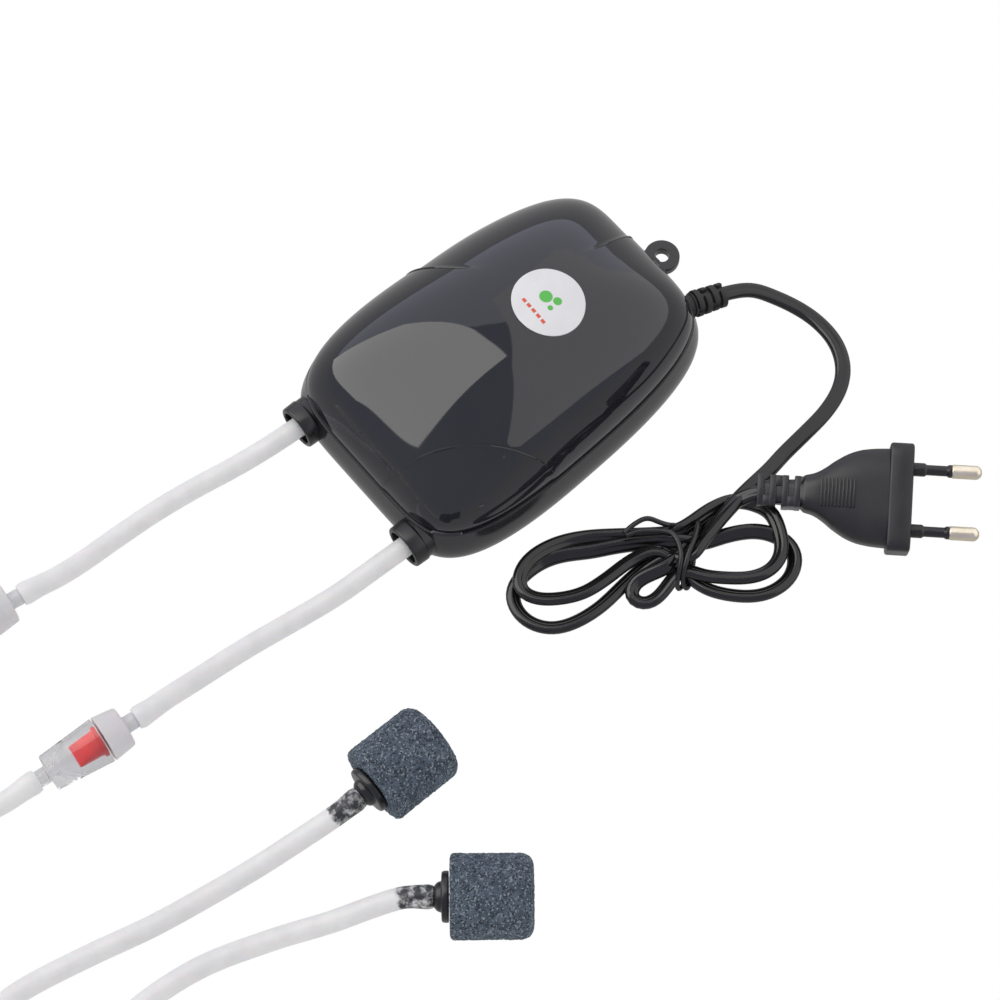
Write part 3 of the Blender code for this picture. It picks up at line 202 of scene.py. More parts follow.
def moulded(name, colour, mottle, gloss, mottle_scale=60.0, texture=1500.0, strength=0.15,
            distance=0.00003, marks=0.0, **plain):
    """A moulded finish: mottled colour, uneven gloss, fine texture, and marks if it is handled."""
    made, tree, shader = start_material(name, **plain)
    surface = place_group(tree, MOULDING, Colour=(*colour, 1), Mottle_Colour=(*mottle, 1),
                          Mottle_Scale=mottle_scale, Texture_Scale=texture,
                          Gloss_Low=gloss[0], Gloss_High=gloss[1])
    base, rough = surface.outputs["Colour"], surface.outputs["Roughness"]
    if marks:
        worn = place_group(tree, HANDLING)
        rough = math_node(tree, "MULTIPLY_ADD", worn.outputs["Marks"], marks)
        tree.links.new(surface.outputs["Roughness"], rough.node.inputs[2])
        dust = math_node(tree, "MULTIPLY", worn.outputs["Specks"], 0.5 * marks)
        base = mix_colours(tree, dust, base, (0.35, 0.35, 0.36, 1))
    dress(tree, shader, base, rough, surface.outputs["Height"], strength, distance)
    return made


def layered(name, colour, groove_shade_colour, pitch, axis, metallic, gloss, strength=0.6):
    """Stacked sheets or laid wire: bands across an axis, with painted shade darkening the grooves."""
    made, tree, shader = start_material(name, Metallic=metallic)
    wave = tree.nodes.new("ShaderNodeTexWave")
    wave.bands_direction = axis
    wave.inputs["Scale"].default_value = 1.0 / (pitch * MM) / 20.0 * math.pi
    wave.inputs["Distortion"].default_value = 0.15
    wave.inputs["Detail"].default_value = 1.0
    tree.links.new(object_vector(tree), wave.inputs["Vector"])
    surface = place_group(tree, MOULDING, Colour=(*colour, 1), Gloss_Low=gloss[0], Gloss_High=gloss[1],
                          Mottle_Colour=tuple(0.75 * c for c in colour) + (1,))
    # painted shade: the grooves between sheets or wires get a darker copy of the surface colour
    groove = spread(tree, wave.outputs["Fac"], 0.0, 0.35)
    base = mix_colours(tree, groove, (*groove_shade_colour, 1), surface.outputs["Colour"])
    dress(tree, shader, base, surface.outputs["Roughness"], wave.outputs["Fac"], strength, 0.0002)
    return made


GLOSS = moulded("gloss_graphite", (0.011, 0.0115, 0.0155), (0.014, 0.014, 0.018), (0.035, 0.06),
                mottle_scale=25.0, texture=260.0, strength=0.02, distance=0.0001, marks=0.05,
                IOR=1.56)
CASE = moulded("case_graphite", (0.012, 0.012, 0.015), (0.015, 0.015, 0.018), (0.10, 0.17),
               mottle_scale=30.0, texture=900.0, strength=0.05, marks=0.08, IOR=1.54)
BLACK = moulded("black_plastic", (0.008, 0.008, 0.009), (0.012, 0.012, 0.012), (0.24, 0.34),
                texture=2200.0, strength=0.2, marks=0.15)
PLUG_BLACK = moulded("plug_black", (0.010, 0.010, 0.011), (0.014, 0.014, 0.015), (0.30, 0.42),
                     mottle_scale=90.0, texture=2600.0, strength=0.3, marks=0.12)
RUBBER = moulded("black_rubber", (0.010, 0.010, 0.010), (0.017, 0.017, 0.017), (0.45, 0.62),
                 texture=1800.0, strength=0.35, marks=0.1)
SLEEVE = moulded("lead_black", (0.006, 0.006, 0.006), (0.009, 0.009, 0.009), (0.12, 0.20),
                 mottle_scale=120.0, texture=900.0, strength=0.12, marks=0.12)
ZINC = moulded("zinc_steel", (0.58, 0.58, 0.56), (0.45, 0.46, 0.47), (0.22, 0.38), mottle_scale=400.0,
               texture=3000.0, strength=0.3, marks=0.1, Metallic=1.0)
PIN_METAL = moulded("pin_nickel", (0.80, 0.74, 0.60), (0.72, 0.64, 0.48), (0.30, 0.42), mottle_scale=260.0,
                    texture=2600.0, strength=0.12, marks=0.1, Metallic=1.0)
NYLON = moulded("natural_nylon", (0.70, 0.68, 0.60), (0.62, 0.60, 0.52), (0.35, 0.5), strength=0.2,
                Subsurface_Weight=0.2, Subsurface_Scale=0.002)
FERRITE = moulded("ferrite", (0.045, 0.045, 0.05), (0.065, 0.062, 0.06), (0.4, 0.6), mottle_scale=500.0,
                  texture=3500.0, strength=0.5)
# the third colour of each is the painted shade in its grooves
STEEL_STACK = layered("silicon_steel", (0.32, 0.32, 0.34), (0.06, 0.06, 0.065), 0.5, "Z", 1.0, (0.35, 0.5))
WINDING = layered("copper_wire", (0.60, 0.24, 0.10), (0.14, 0.04, 0.02), 0.35, "X", 1.0, (0.25, 0.38))
VALVE_WHITE = moulded("valve_white", (0.66, 0.66, 0.68), (0.62, 0.62, 0.645), (0.22, 0.34), strength=0.1,
                      Subsurface_Weight=0.35, Subsurface_Scale=0.003)
VALVE_RED = moulded("valve_red", (0.84, 0.010, 0.006), (0.72, 0.007, 0.005), (0.28, 0.42),
                    mottle_scale=200.0, strength=0.2, Specular_IOR_Level=0.15, Subsurface_Weight=0.15,
                    Subsurface_Scale=0.002)


def make_clear():
    """Clear moulded plastic: faint flow marks in its gloss, and plain transmission."""
    made, tree, shader = start_material("valve_clear", Transmission_Weight=0.97, IOR=1.33)
    surface = place_group(tree, MOULDING, Colour=(0.97, 0.97, 0.98, 1), Mottle_Colour=(0.93, 0.93, 0.95, 1),
                          Mottle_Scale=80.0, Texture_Scale=500.0, Gloss_Low=0.04, Gloss_High=0.12)
    dress(tree, shader, surface.outputs["Colour"], surface.outputs["Roughness"],
          surface.outputs["Height"], 0.06, 0.0001)
    return made


def make_silicone():
    """Milky silicone; where the piece's grip attribute rises, the dark nipple shows through it."""
    made, tree, shader = start_material("silicone_tube", Subsurface_Weight=0.15, Subsurface_Scale=0.002,
                                        IOR=1.41)
    surface = place_group(tree, MOULDING, Colour=(0.80, 0.80, 0.805, 1), Mottle_Colour=(0.75, 0.75, 0.76, 1),
                          Mottle_Scale=140.0, Texture_Scale=900.0, Gloss_Low=0.28, Gloss_High=0.42)
    grip = tree.nodes.new("ShaderNodeAttribute")
    grip.attribute_name = "grip"
    blotch = noise_node(tree, object_vector(tree), 420.0, 4.0, 0.65)
    level = math_node(tree, "MULTIPLY_ADD", blotch, 0.9)
    tree.links.new(grip.outputs["Fac"], level.node.inputs[2])
    dark = spread(tree, level, 1.22, 1.52)
    base = mix_colours(tree, dark, surface.outputs["Colour"], (0.035, 0.037, 0.042, 1))
    dress(tree, shader, base, surface.outputs["Roughness"], surface.outputs["Height"], 0.12, 0.00006)
    return made


def make_mineral():
    """Bonded mineral grains: slate blue, with pale and near-black grains."""
    made, tree, shader = start_material("mineral", Roughness=0.9)
    vector = object_vector(tree)
    grains = tree.nodes.new("ShaderNodeTexVoronoi")
    grains.inputs["Scale"].default_value = 2300.0
    tree.links.new(vector, grains.inputs["Vector"])
    split = tree.nodes.new("ShaderNodeSeparateColor")
    tree.links.new(grains.outputs["Color"], split.inputs["Color"])
    cloud = noise_node(tree, vector, 320.0, 4.0, 0.6)
    slate, slate_light = (0.050, 0.072, 0.100, 1), (0.105, 0.140, 0.185, 1)
    pale, near_black = (0.24, 0.28, 0.32, 1), (0.026, 0.033, 0.045, 1)
    base = mix_colours(tree, spread(tree, cloud, 0.3, 0.7), slate, slate_light)
    base = mix_colours(tree, spread(tree, split.outputs["Red"], 0.80, 0.90), base, pale)
    base = mix_colours(tree, spread(tree, split.outputs["Green"], 0.72, 0.80), base, near_black)
    rough = spread(tree, split.outputs["Blue"], 0.0, 1.0, 0.7, 1.0)
    dress(tree, shader, base, rough, grains.outputs["Distance"], 0.8, 0.0004)
    return made


def make_felt():
    """Off-white felt of fibres that run one way."""
    made, tree, shader = start_material("filter_felt", Sheen_Weight=0.4)
    fibres = noise_node(tree, object_vector(tree, stretch=(1.0, 6.0, 1.0)), 1200.0, 6.0, 0.75)
    base = mix_colours(tree, fibres, (0.52, 0.52, 0.48, 1), (0.80, 0.80, 0.76, 1))
    dress(tree, shader, base, spread(tree, fibres, 0.0, 1.0, 0.85, 1.0), fibres, 0.9, 0.0004)
    return made


CLEAR = make_clear()
SILICONE = make_silicone()
MINERAL = make_mineral()
FELT = make_felt()


# ---------------------------------------------------------------- mesh helpers
def finish_piece(name, bm, surface, stands_for=(), body="pump", crease=32.0, attributes=None):
    """Turns a closed bmesh into a finished piece that rides on a body."""
    bmesh.ops.recalc_face_normals(bm, faces=bm.faces)
    mesh = bpy.data.meshes.new(name)
    bm.to_mesh(mesh)
    bm.free()
    for label, values in (attributes or {}).items():
        attribute = mesh.attributes.new(label, "FLOAT", "POINT")
        attribute.data.foreach_set("value", values)
    obj = bpy.data.objects.new(name, mesh)
    bpy.context.scene.collection.objects.link(obj)
    mesh.materials.append(surface)
    mesh.shade_smooth()
    mesh.set_sharp_from_angle(angle=math.radians(crease))
    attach(obj, body)
    if stands_for:
        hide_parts(*stands_for)
    return obj


def skin(bm, rings, cap_start=True, cap_end=True, close=False):
    """Joins rings of points, each as long as the next, into one skin."""
    rows = [[bm.verts.new(point) for point in ring] for ring in rings]
    pairs = list(zip(rows, rows[1:]))
    if close:
        pairs.append((rows[-1], rows[0]))
    count = len(rows[0])
    for lower, upper in pairs:
        for i in range(count):
            k = (i + 1) % count
            bm.faces.new((lower[i], lower[k], upper[k], upper[i]))
    if cap_start and not close:
        bm.faces.new(list(reversed(rows[0])))
    if cap_end and not close:
        bm.faces.new(rows[-1])
    return rows


def rounded(corners, steps=4):
    """An open profile whose corners, given as (radius, height, fillet), are turned into arcs."""
    out = []
    for i, (r, z, fillet) in enumerate(corners):
        here = Vector((r, z))
        if i in (0, len(corners) - 1) or fillet <= 0:
            out.append((r, z))
            continue
        before = Vector(corners[i - 1][:2]) - here
        after = Vector(corners[i + 1][:2]) - here
        reach = min(fillet, 0.48 * before.length, 0.48 * after.length)
        a = here + before.normalized() * reach
        b = here + after.normalized() * reach
        for k in range(steps + 1):
            t = k / steps
            point = a * (1 - t) ** 2 + here * 2 * t * (1 - t) + b * t ** 2
            out.append((point.x, point.y))
    return out


def lathe(bm, profile, place, steps=64, closed=False):
    """Turns (radius, height) millimetres about the local Z of a placing matrix."""
    rows = []
    for r, z in profile:
        if r < 1e-6:
            rows.append([bm.verts.new(place @ Vector((0, 0, z * MM)))])
            continue
        ring = []
        for i in range(steps):
            angle = 2 * math.pi * i / steps
            ring.append(bm.verts.new(place @ (Vector((r * math.cos(angle), r * math.sin(angle), z)) * MM)))
        rows.append(ring)
    pairs = list(zip(rows, rows[1:]))
    if closed:
        pairs.append((rows[-1], rows[0]))
    for lower, upper in pairs:
        for i in range(steps):
            k = (i + 1) % steps
            if len(lower) == 1 and len(upper) == 1:
                break
            if len(lower) == 1:
                bm.faces.new((lower[0], upper[k], upper[i]))
            elif len(upper) == 1:
                bm.faces.new((lower[i], lower[k], upper[0]))
            else:
                bm.faces.new((lower[i], lower[k], upper[k], upper[i]))
    return rows


def power_point(angle, wide, high, power):
    """A point of a superellipse, wide and high by half sizes."""
    a, b = math.cos(angle), math.sin(angle)
    return (wide * math.copysign(abs(a) ** (2 / power), a), high * math.copysign(abs(b) ** (2 / power), b))


def aim(point, way):
    """The matrix that sends +Z to a direction, and the origin to a point given in millimetres."""
    turn = Vector(way).normalized().to_track_quat("Z", "Y").to_matrix().to_4x4()
    return Matrix.Translation(row(point)) @ turn


def turned_piece(name, profile, place, surface, stands_for, steps=64, closed=False, crease=32.0):
    bm = bmesh.new()
    lathe(bm, profile, place, steps, closed)
    return finish_piece(name, bm, surface, stands_for, crease=crease)


# ---------------------------------------------------------------- routes
def smooth_route(points, spacing, passes=6):
    """Even points along a smooth curve through a route's own points."""
    path = [Vector(p) for p in points]
    ends = [path[0] * 2 - path[1]] + path + [path[-1] * 2 - path[-2]]
    fine = []
    for i in range(1, len(ends) - 2):
        a, b, c, d = ends[i - 1:i + 3]
        for k in range(16):
            t = k / 16
            bend = 2 * a - 5 * b + 4 * c - d
            twist = -a + 3 * b - 3 * c + d
            fine.append(0.5 * (2 * b + (c - a) * t + bend * t ** 2 + twist * t ** 3))
    fine.append(path[-1])
    out = even(fine, spacing)
    for _ in range(passes):
        eased = [p * 0.5 + (a + b) * 0.25 for a, p, b in zip(out[1:], out[2:], out[3:])]
        out = out[:2] + eased + out[-1:]
    return even(out, spacing)


def even(fine, spacing):
    """Points at equal steps along a path."""
    lengths = [0.0]
    for a, b in zip(fine, fine[1:]):
        lengths.append(lengths[-1] + (b - a).length)
    count = max(2, round(lengths[-1] / spacing))
    out, k = [], 0
    for n in range(count + 1):
        want = lengths[-1] * n / count
        while k < len(lengths) - 2 and lengths[k + 1] < want:
            k += 1
        share = (want - lengths[k]) / max(lengths[k + 1] - lengths[k], 1e-9)
        out.append(fine[k].lerp(fine[k + 1], min(max(share, 0.0), 1.0)))
    return out


def run_lengths(path):
    """Length of a path up to each of its points."""
    runs = [0.0]
    for a, b in zip(path, path[1:]):
        runs.append(runs[-1] + (b - a).length)
    return runs


def tangents(path):
    out = []
    for i in range(len(path)):
        a, b = path[max(i - 1, 0)], path[min(i + 1, len(path) - 1)]
        out.append((b - a).normalized())
    return out


def sweep(bm, path, outline_at, tilt_at=None):
    """Sweeps a closed outline of (across, up) offsets along a path; tilt in degrees, 0 lies flat."""
    rings = []
    runs = run_lengths(path)
    total = runs[-1]
    for point, way, run in zip(path, tangents(path), runs):
        across = way.cross(Vector((0, 0, 1))).normalized()
        up = across.cross(way).normalized()
        if tilt_at is not None:
            turn = Matrix.Rotation(math.radians(tilt_at(run, total)), 3, way)
            across, up = turn @ across, turn @ up
        rings.append([point + across * a + up * b for a, b in outline_at(run, total)])
    skin(bm, rings)
    return runs


def circle(radius, count):
    """Even points of a circle."""
    angles = [2 * math.pi * i / count for i in range(count)]
    return [(radius * math.cos(a), radius * math.sin(a)) for a in angles]


AIRLINE_RADIUS = 3.0
TUBE_SIDES = 20
TUBE_RING = circle(1.0, TUBE_SIDES)
FLARE_REACH = 4.5                  # how far a tube's end stays wider over a fitting
END_ROUNDING, END_DROP = 0.7, 0.35
GRIP_START = 0.75                  # share of the grip length where the dark end begins to fade


def airline(name, points, flare, grip, stands_for):
    """A round silicone tube; flare holds the extra radius at its start and end, grip its dark length."""
    path = [row(p) for p in points]
    bm = bmesh.new()

    def swell(extra, run):
        return extra * math.exp(-(run / (FLARE_REACH * MM)) ** 2)

    def tube_ring(run, total):
        end = min(run, total - run) / (END_ROUNDING * MM)
        flared = AIRLINE_RADIUS + (swell(flare[0], run) + swell(flare[1], total - run))
        radius = (flared - END_DROP * max(0.0, 1.0 - end)) * MM
        return [(a * radius, b * radius) for a, b in TUBE_RING]

    runs = sweep(bm, path, tube_ring)
    total = runs[-1]
    shade = []
    for run in runs:
        dark = 0.0
        if grip:
            dark = 1.0 - min(1.0, max(0.0, (total - run) / MM / grip - GRIP_START) * 4.0)
        shade += [dark] * TUBE_SIDES
    obj = finish_piece(name, bm, SILICONE, stands_for, crease=60.0,
                       attributes={"grip": shade})
    return obj


# ---------------------------------------------------------------- check valves
VALVE_MIDDLES = {"left": (-36.0, -159.4, 6.9), "right": (14.4, -156.8, 6.9)}
VALVE_WAYS = {"left": (-0.13, -1.0, 0.0), "right": (-0.10, -1.0, 0.0)}
VALVE_BODY, VALVE_CAP, VALVE_STUB = 17.2, 7.2, 4.2
STUB_GRIP = 0.7                    # length of stub inside a tube's end


def make_check_valve(side):
    """White cap towards the pump, clear cone with an inner funnel, and a red duckbill."""
    middle, way = VALVE_MIDDLES[side], Vector(VALVE_WAYS[side]).normalized()
    place = aim(middle, way)
    body = rounded([(6.05, 0.2, 0), (5.35, 9.8, 1.2), (3.1, 13.3, 1.0), (1.25, 15.2, 0.6),
                    (1.25, 21.2, 0.2),
                    (2.1, 21.2, 0.3), (2.45, 20.2, 0.3), (2.45, 17.3, 0.5), (5.35, 17.15, 0.5),
                    (6.72, 0.9, 0.4), (6.78, 0.2, 0.1), (6.05, 0.2, 0)])[:-1]
    cone = turned_piece(f"valve_cone_{side}", body, place, CLEAR,
                        [f"check_valve_body_{side}"], closed=True)

    back = aim(middle, -way)
    cap = rounded([(1.2, 0.3, 0), (5.4, 0.3, 0.2), (5.6, 0.3, 0.1), (6.85, 0.35, 0.25), (6.75, 0.9, 0.5),
                   (5.9, 7.1, 0.7), (2.5, 7.25, 0.4), (2.4, 8.0, 0.3), (2.45, 10.2, 0.3), (2.1, 11.3, 0.3),
                   (1.2, 11.3, 0.1), (1.2, 0.3, 0)])[:-1]
    lid = turned_piece(f"valve_lid_{side}", cap, back, VALVE_WHITE,
                       [f"check_valve_cap_{side}"], closed=True)

    bm = bmesh.new()
    rings = []
    count = 40
    stations = [(0.35, 4.6, 4.6), (1.25, 4.6, 4.6), (1.5, 3.9, 3.9), (2.4, 3.6, 3.55), (4.0, 3.55, 3.2),
                (6.0, 3.5, 2.3), (7.8, 3.5, 1.3), (8.8, 3.5, 0.62), (9.1, 3.35, 0.4)]
    for along, wide, high in stations:
        power = 2.0 + 1.6 * along / stations[-1][0]
        spots = [power_point(2 * math.pi * i / count, wide, high, power) for i in range(count)]
        rings.append([place @ (Vector((across, up, along)) * MM) for across, up in spots])
    skin(bm, rings)
    lips = finish_piece(f"valve_duckbill_{side}", bm, VALVE_RED,
                        [f"check_valve_duckbill_{side}"])
    return cone, lid, lips


# ---------------------------------------------------------------- air stones
STONES = {
    "left": ((111.0, -113.0, 11.85), (0.637, 0.771, 0.0)),
    "right": ((74.0, -109.6, 11.85), (0.0, 1.0, 0.0)),
}
STEM_END = 0.3 + 8.5               # from the stone's near face to the end of its stem


def make_air_stone(side):
    """A rounded mineral cylinder whose grains stand out of its skin, on a flanged nipple."""
    near, way = STONES[side]
    way = Vector(way)
    place = aim(near, way)
    near_end, far_end = 0.05, 22.85
    outer = rounded([(0.0, near_end, 0), (11.75, near_end, 1.6), (11.7, far_end, 4.2), (0.0, far_end, 0)],
                    steps=12)
    fine = [(0.0, near_end)]
    for (r0, z0), (r1, z1) in zip(outer, outer[1:]):
        parts = max(1, round(math.hypot(r1 - r0, z1 - z0) / 0.5))
        for k in range(1, parts + 1):
            fine.append((r0 + (r1 - r0) * k / parts, z0 + (z1 - z0) * k / parts))
    fine[-1] = (0.0, far_end)
    bm = bmesh.new()
    lathe(bm, fine, place, steps=150)
    bm.normal_update()
    middle = place @ (Vector((0, 0, 11.4)) * MM)
    for vertex in bm.verts:
        point = vertex.co / MM
        grain = noise.voronoi(point * 1.15)[0][0]
        lump = noise.noise(point * 0.33) * 0.22 + noise.noise(point * 0.95) * 0.14
        depth = 0.34 * min(grain, 0.9) ** 0.7 + abs(lump)
        vertex.co += (middle - vertex.co).normalized() * depth * MM
    stone = finish_piece(f"mineral_stone_{side}", bm, MINERAL, [f"air_stone_{side}"],
                         crease=180.0)

    profile = rounded([(0.0, 9.0, 0), (1.75, 9.0, 0.3), (2.0, 8.2, 0.2), (2.3, 7.4, 0.2), (1.95, 7.2, 0.1),
                       (2.3, 5.6, 0.2), (2.3, 4.4, 0.3), (3.9, 3.1, 0.8), (4.2, 2.0, 0.3), (6.7, 1.9, 0.5),
                       (6.95, 0.9, 0.4), (6.9, 0.0, 0.2), (0.0, 0.0, 0)])
    nozzle = turned_piece(f"stone_nipple_{side}", profile, aim(Vector(near) - way * 0.1, -way), BLACK,
                          [f"stone_nozzle_{side}"])
    return stone, nozzle


# ---------------------------------------------------------------- airlines
# The points of each stretch are listed; where a stretch lies on the table, z is 3.05.
OUTLET_X, OUTLET_HEIGHT = 24.3, 10.2
NOZZLE_TIP_Y = -53.9
OUTLET_ROUTES = {
    "left": [(-24.5, -60.0, 10.0), (-25.6, -68.0, 8.6), (-28.0, -78.0, 5.6), (-30.8, -90.0, 3.6),
             (-32.6, -104.0, 3.05), (-33.2, -118.0, 3.05), (-33.2, -129.0, 3.7), (-33.2, -138.0, 5.6)],
    "right": [(24.1, -60.0, 10.0), (23.2, -69.0, 8.2), (21.6, -80.0, 4.8), (19.4, -93.0, 3.1),
              (17.4, -107.0, 3.05), (16.2, -119.0, 3.05), (15.9, -128.0, 4.3), (15.7, -135.5, 5.8)],
}
COILS = {"left": ((-72.0, -240.0), 31.5, 90.0), "right": ((29.0, -262.0), 34.0, 180.0)}
SUPPLY_ROUTES = {
    "left": [(-41.5, -190.7, 5.6), (-46.3, -198.4, 3.8), (-54.2, -203.8, 3.05), (-63.0, -205.4, 3.05)],
    "right": [(11.2, -188.0, 5.5), (7.0, -202.0, 3.4), (1.0, -214.0, 3.05), (-4.6, -228.0, 3.05),
              (-7.6, -244.0, 3.05)],
}
RETURN_ROUTES = {
    "left": [(-58.0, -271.8, 9.6), (-46.0, -273.5, 8.6), (-34.0, -278.5, 5.4),
             (-21.0, -290.0, 3.4), (-5.0, -301.0, 3.05), (18.0, -307.4, 3.05), (44.0, -306.0, 3.05),
             (68.0, -295.0, 3.05), (83.0, -275.0, 3.05), (87.5, -250.0, 3.05), (84.0, -222.0, 3.05),
             (79.5, -198.0, 3.05), (81.0, -176.0, 3.05), (87.5, -156.0, 3.2), (94.5, -141.0, 5.6),
             (98.8, -131.5, 9.0)],
    "right": [(62.6, -248.0, 9.6), (60.6, -238.0, 8.4), (57.0, -228.0, 5.2),
              (55.6, -216.0, 3.2), (59.5, -196.0, 3.05), (64.0, -178.0, 3.05), (67.2, -160.0, 3.3),
              (69.8, -146.0, 5.2), (72.2, -132.5, 8.8)],
}


def ease(value, low, high):
    """Rises smoothly from 0 to 1 over a range."""
    t = min(1.0, max(0.0, (value - low) / (high - low)))
    return t * t * (3 - 2 * t)


def coil_points(side):
    """Two turns beside each other on the table, and a last half turn in the groove above them."""
    (x, y), radius, start = COILS[side]
    out = []
    for step in range(0, 901, 9):
        spread_out = 3.1 - 6.2 * ease(step, 260, 330) + 3.1 * ease(step, 605, 665)
        z = 3.05 + 6.05 * ease(step, 605, 665) - 0.6 * ease(step, 690, 800)
        angle = math.radians(start + step)
        reach = radius + spread_out
        out.append((x + reach * math.cos(angle), y + reach * math.sin(angle), z))
    return out


def make_airlines():
    for side, sign in (("left", -1), ("right", 1)):
        cone, lid, lips = make_check_valve(side)
        stone, nozzle = make_air_stone(side)
        middle, way = Vector(VALVE_MIDDLES[side]), Vector(VALVE_WAYS[side]).normalized()
        inlet = middle - way * (VALVE_CAP + VALVE_STUB - STUB_GRIP)
        start = (sign * OUTLET_X, NOZZLE_TIP_Y + 3.0, OUTLET_HEIGHT)
        route = [start, (sign * OUTLET_X, NOZZLE_TIP_Y - 1.0, OUTLET_HEIGHT)] + OUTLET_ROUTES[side]
        route += [tuple(inlet - way * 4.5), tuple(inlet)]
        airline(f"airline_outlet_{side}_tube", smooth_route(route, 1.25), (0.0, 0.42), 0.0,
                [f"airline_outlet_{side}"])

        outlet = middle + way * (VALVE_BODY + VALVE_STUB - STUB_GRIP)
        near, aimed = Vector(STONES[side][0]), Vector(STONES[side][1])
        stem = near - aimed * (STEM_END - 4.6)
        route = [tuple(outlet), tuple(outlet + way * 4.5)] + SUPPLY_ROUTES[side] + coil_points(side)
        route += RETURN_ROUTES[side] + [tuple(stem - aimed * 8.0), tuple(stem - aimed * 4.0), tuple(stem)]
        nodes = [f"airline_{part}_{side}" for part in ("supply", "coil", "stone")]
        airline(f"airline_{side}_tube", smooth_route(route, 1.25), (0.42, 0.35), 12.0, nodes)


# ---------------------------------------------------------------- mains lead
LEAD_ROUTE = [(25.2, 73.6, 7.2), (30.6, 78.1, 4.8), (37.1, 81.7, 2.9), (44.1, 83.3, 2.4), (52.0, 82.8, 2.4),
              (59.2, 79.4, 2.4), (64.2, 73.6, 2.4), (67.2, 65.2, 2.4), (68.5, 55.2, 2.4), (69.5, 46.0, 2.6)]
HANK_MIDDLE, HANK_TURN = (76.0, 4.0), math.radians(50.0)
HANK_ROUTE = [
    (23.9, 26.7, 4.0), (15.6, 18.1, 5.5), (9.3, 10.2, 7.0), (3.6, 2.6, 8.0), (-0.1, -2.4, 7.5),
    (-5.8, 0.0, 5.0), (-11.8, -2.8, 4.0), (-17.8, -7.8, 3.0), (-25.1, -15.2, 3.0), (-32.8, -20.2, 3.0),
    (-39.8, -21.8, 3.0), (-46.4, -19.3, 3.0), (-50.0, -13.5, 3.0), (-48.8, -8.1, 4.0), (-42.4, -2.3, 4.0),
    (-35.6, 0.3, 4.0), (-27.9, 1.3, 4.0), (-20.1, 3.0, 4.0), (-11.7, 4.0, 4.0), (-2.8, 3.9, 5.0),
    (3.3, 3.7, 4.0), (11.1, 6.3, 4.0), (18.4, 7.6, 4.0), (24.0, 6.8, 3.5), (28.5, 4.1, 3.0),
    (30.4, -0.4, 3.0), (28.7, -6.2, 3.0), (24.4, -10.1, 3.0), (18.9, -12.0, 3.0), (11.8, -11.8, 3.0),
    (4.7, -9.8, 3.0), (-0.5, -5.6, 3.0), (-8.3, 0.9, 6.0), (-16.7, -2.5, 6.0), (-22.7, -7.3, 6.0),
    (-29.9, -12.2, 6.0), (-37.6, -14.1, 6.0), (-44.2, -13.8, 6.0), (-48.2, -10.6, 6.0), (-47.0, -4.5, 6.0),
    (-42.4, 0.1, 6.0), (-35.6, 3.7, 5.0), (-27.8, 5.6, 4.0), (-20.0, 6.0, 4.0), (-11.6, 6.3, 4.0),
    (-4.5, 6.5, 5.0), (0.4, 9.1, 5.0), (6.5, 13.7, 5.0), (13.8, 17.3, 3.4), (20.3, 16.3, 2.6),
    (24.1, 12.4, 5.0), (26.0, 6.5, 5.0), (26.4, 0.7, 5.0), (23.4, -4.5, 5.0), (17.7, -7.1, 5.0),
    (10.6, -7.3, 5.0), (3.5, -6.5, 5.0), (-1.2, -4.5, 5.0), (-4.2, -6.5, 5.0), (-7.5, -11.0, 3.6),
    (-11.4, -14.3, 3.0), (-15.6, -13.9, 3.2), (-16.9, -10.4, 4.0), (-13.6, -7.2, 5.0), (-7.8, -5.0, 6.0),
    (-3.0, -1.7, 6.0), (0.4, 4.7, 3.0), (4.1, 10.0, 3.0), (9.5, 14.0, 3.6), (15.0, 16.8, 5.8),
    (19.7, 18.1, 7.5), (23.5, 17.9, 7.9),
]
TIE_ROUTE = [(-18.5, 4.6, 9.6), (-15.5, 7.1, 10.2), (-11.9, 8.8, 10.4), (-8.3, 7.6, 10.0), (-5.6, 7.4, 8.6),
             (-3.4, 8.8, 5.0), (-1.0, 8.2, 1.2), (0.4, 2.0, 0.85), (0.4, -5.0, 0.85), (-0.6, -9.4, 2.0),
             (-2.0, -8.6, 5.5), (-1.6, -5.6, 9.0), (-0.4, -1.5, 10.2), (1.6, 3.4, 9.8), (2.6, 8.4, 7.4),
             (2.8, 10.0, 3.6), (2.0, 6.0, 0.85), (1.0, -3.0, 0.85), (-2.6, -9.2, 1.6), (-3.6, -8.9, 5.0),
             (-3.0, -5.8, 9.0), (-2.6, -1.8, 10.4), (-4.2, 3.3, 10.6), (-7.2, 4.9, 10.2), (-11.9, 5.2, 9.8),
             (-15.0, 5.0, 9.6), (-18.0, 3.8, 9.4)]
LEAD_HALF_WIDTH, LEAD_HALF_THICKNESS = 2.3, 1.45
TIE_RADIUS = 0.75
HANK_TILT = 38.0                   # how far the flat lead leans over in the folded part
BOOT_PLACE, BOOT_WAY = Vector((18.4, 54.5, 10.4)), Vector((0.26, 0.95, -0.16)).normalized()
BOOT_LENGTH = 11.5


def hank_point(point):
    """A point of the hank's own frame: along it, across it and up, in millimetres."""
    u, v, z = point
    cos, sin = math.cos(HANK_TURN), math.sin(HANK_TURN)
    return (HANK_MIDDLE[0] + u * cos - v * sin, HANK_MIDDLE[1] + u * sin + v * cos, z)


def twin_outline():
    """Two round cores side by side, with a shallow groove between them."""
    core = LEAD_HALF_THICKNESS
    offset = LEAD_HALF_WIDTH - core
    ring = [(offset + core * math.cos(math.radians(a)), core * math.sin(math.radians(a)))
            for a in range(-108, 109, 24)]
    ring.append((0.0, 0.86 * core))
    ring += [(-x, -y) for x, y in ring[:-1]]
    ring.append((0.0, -0.86 * core))
    return [(x * MM, y * MM) for x, y in ring]


TWIN = twin_outline()


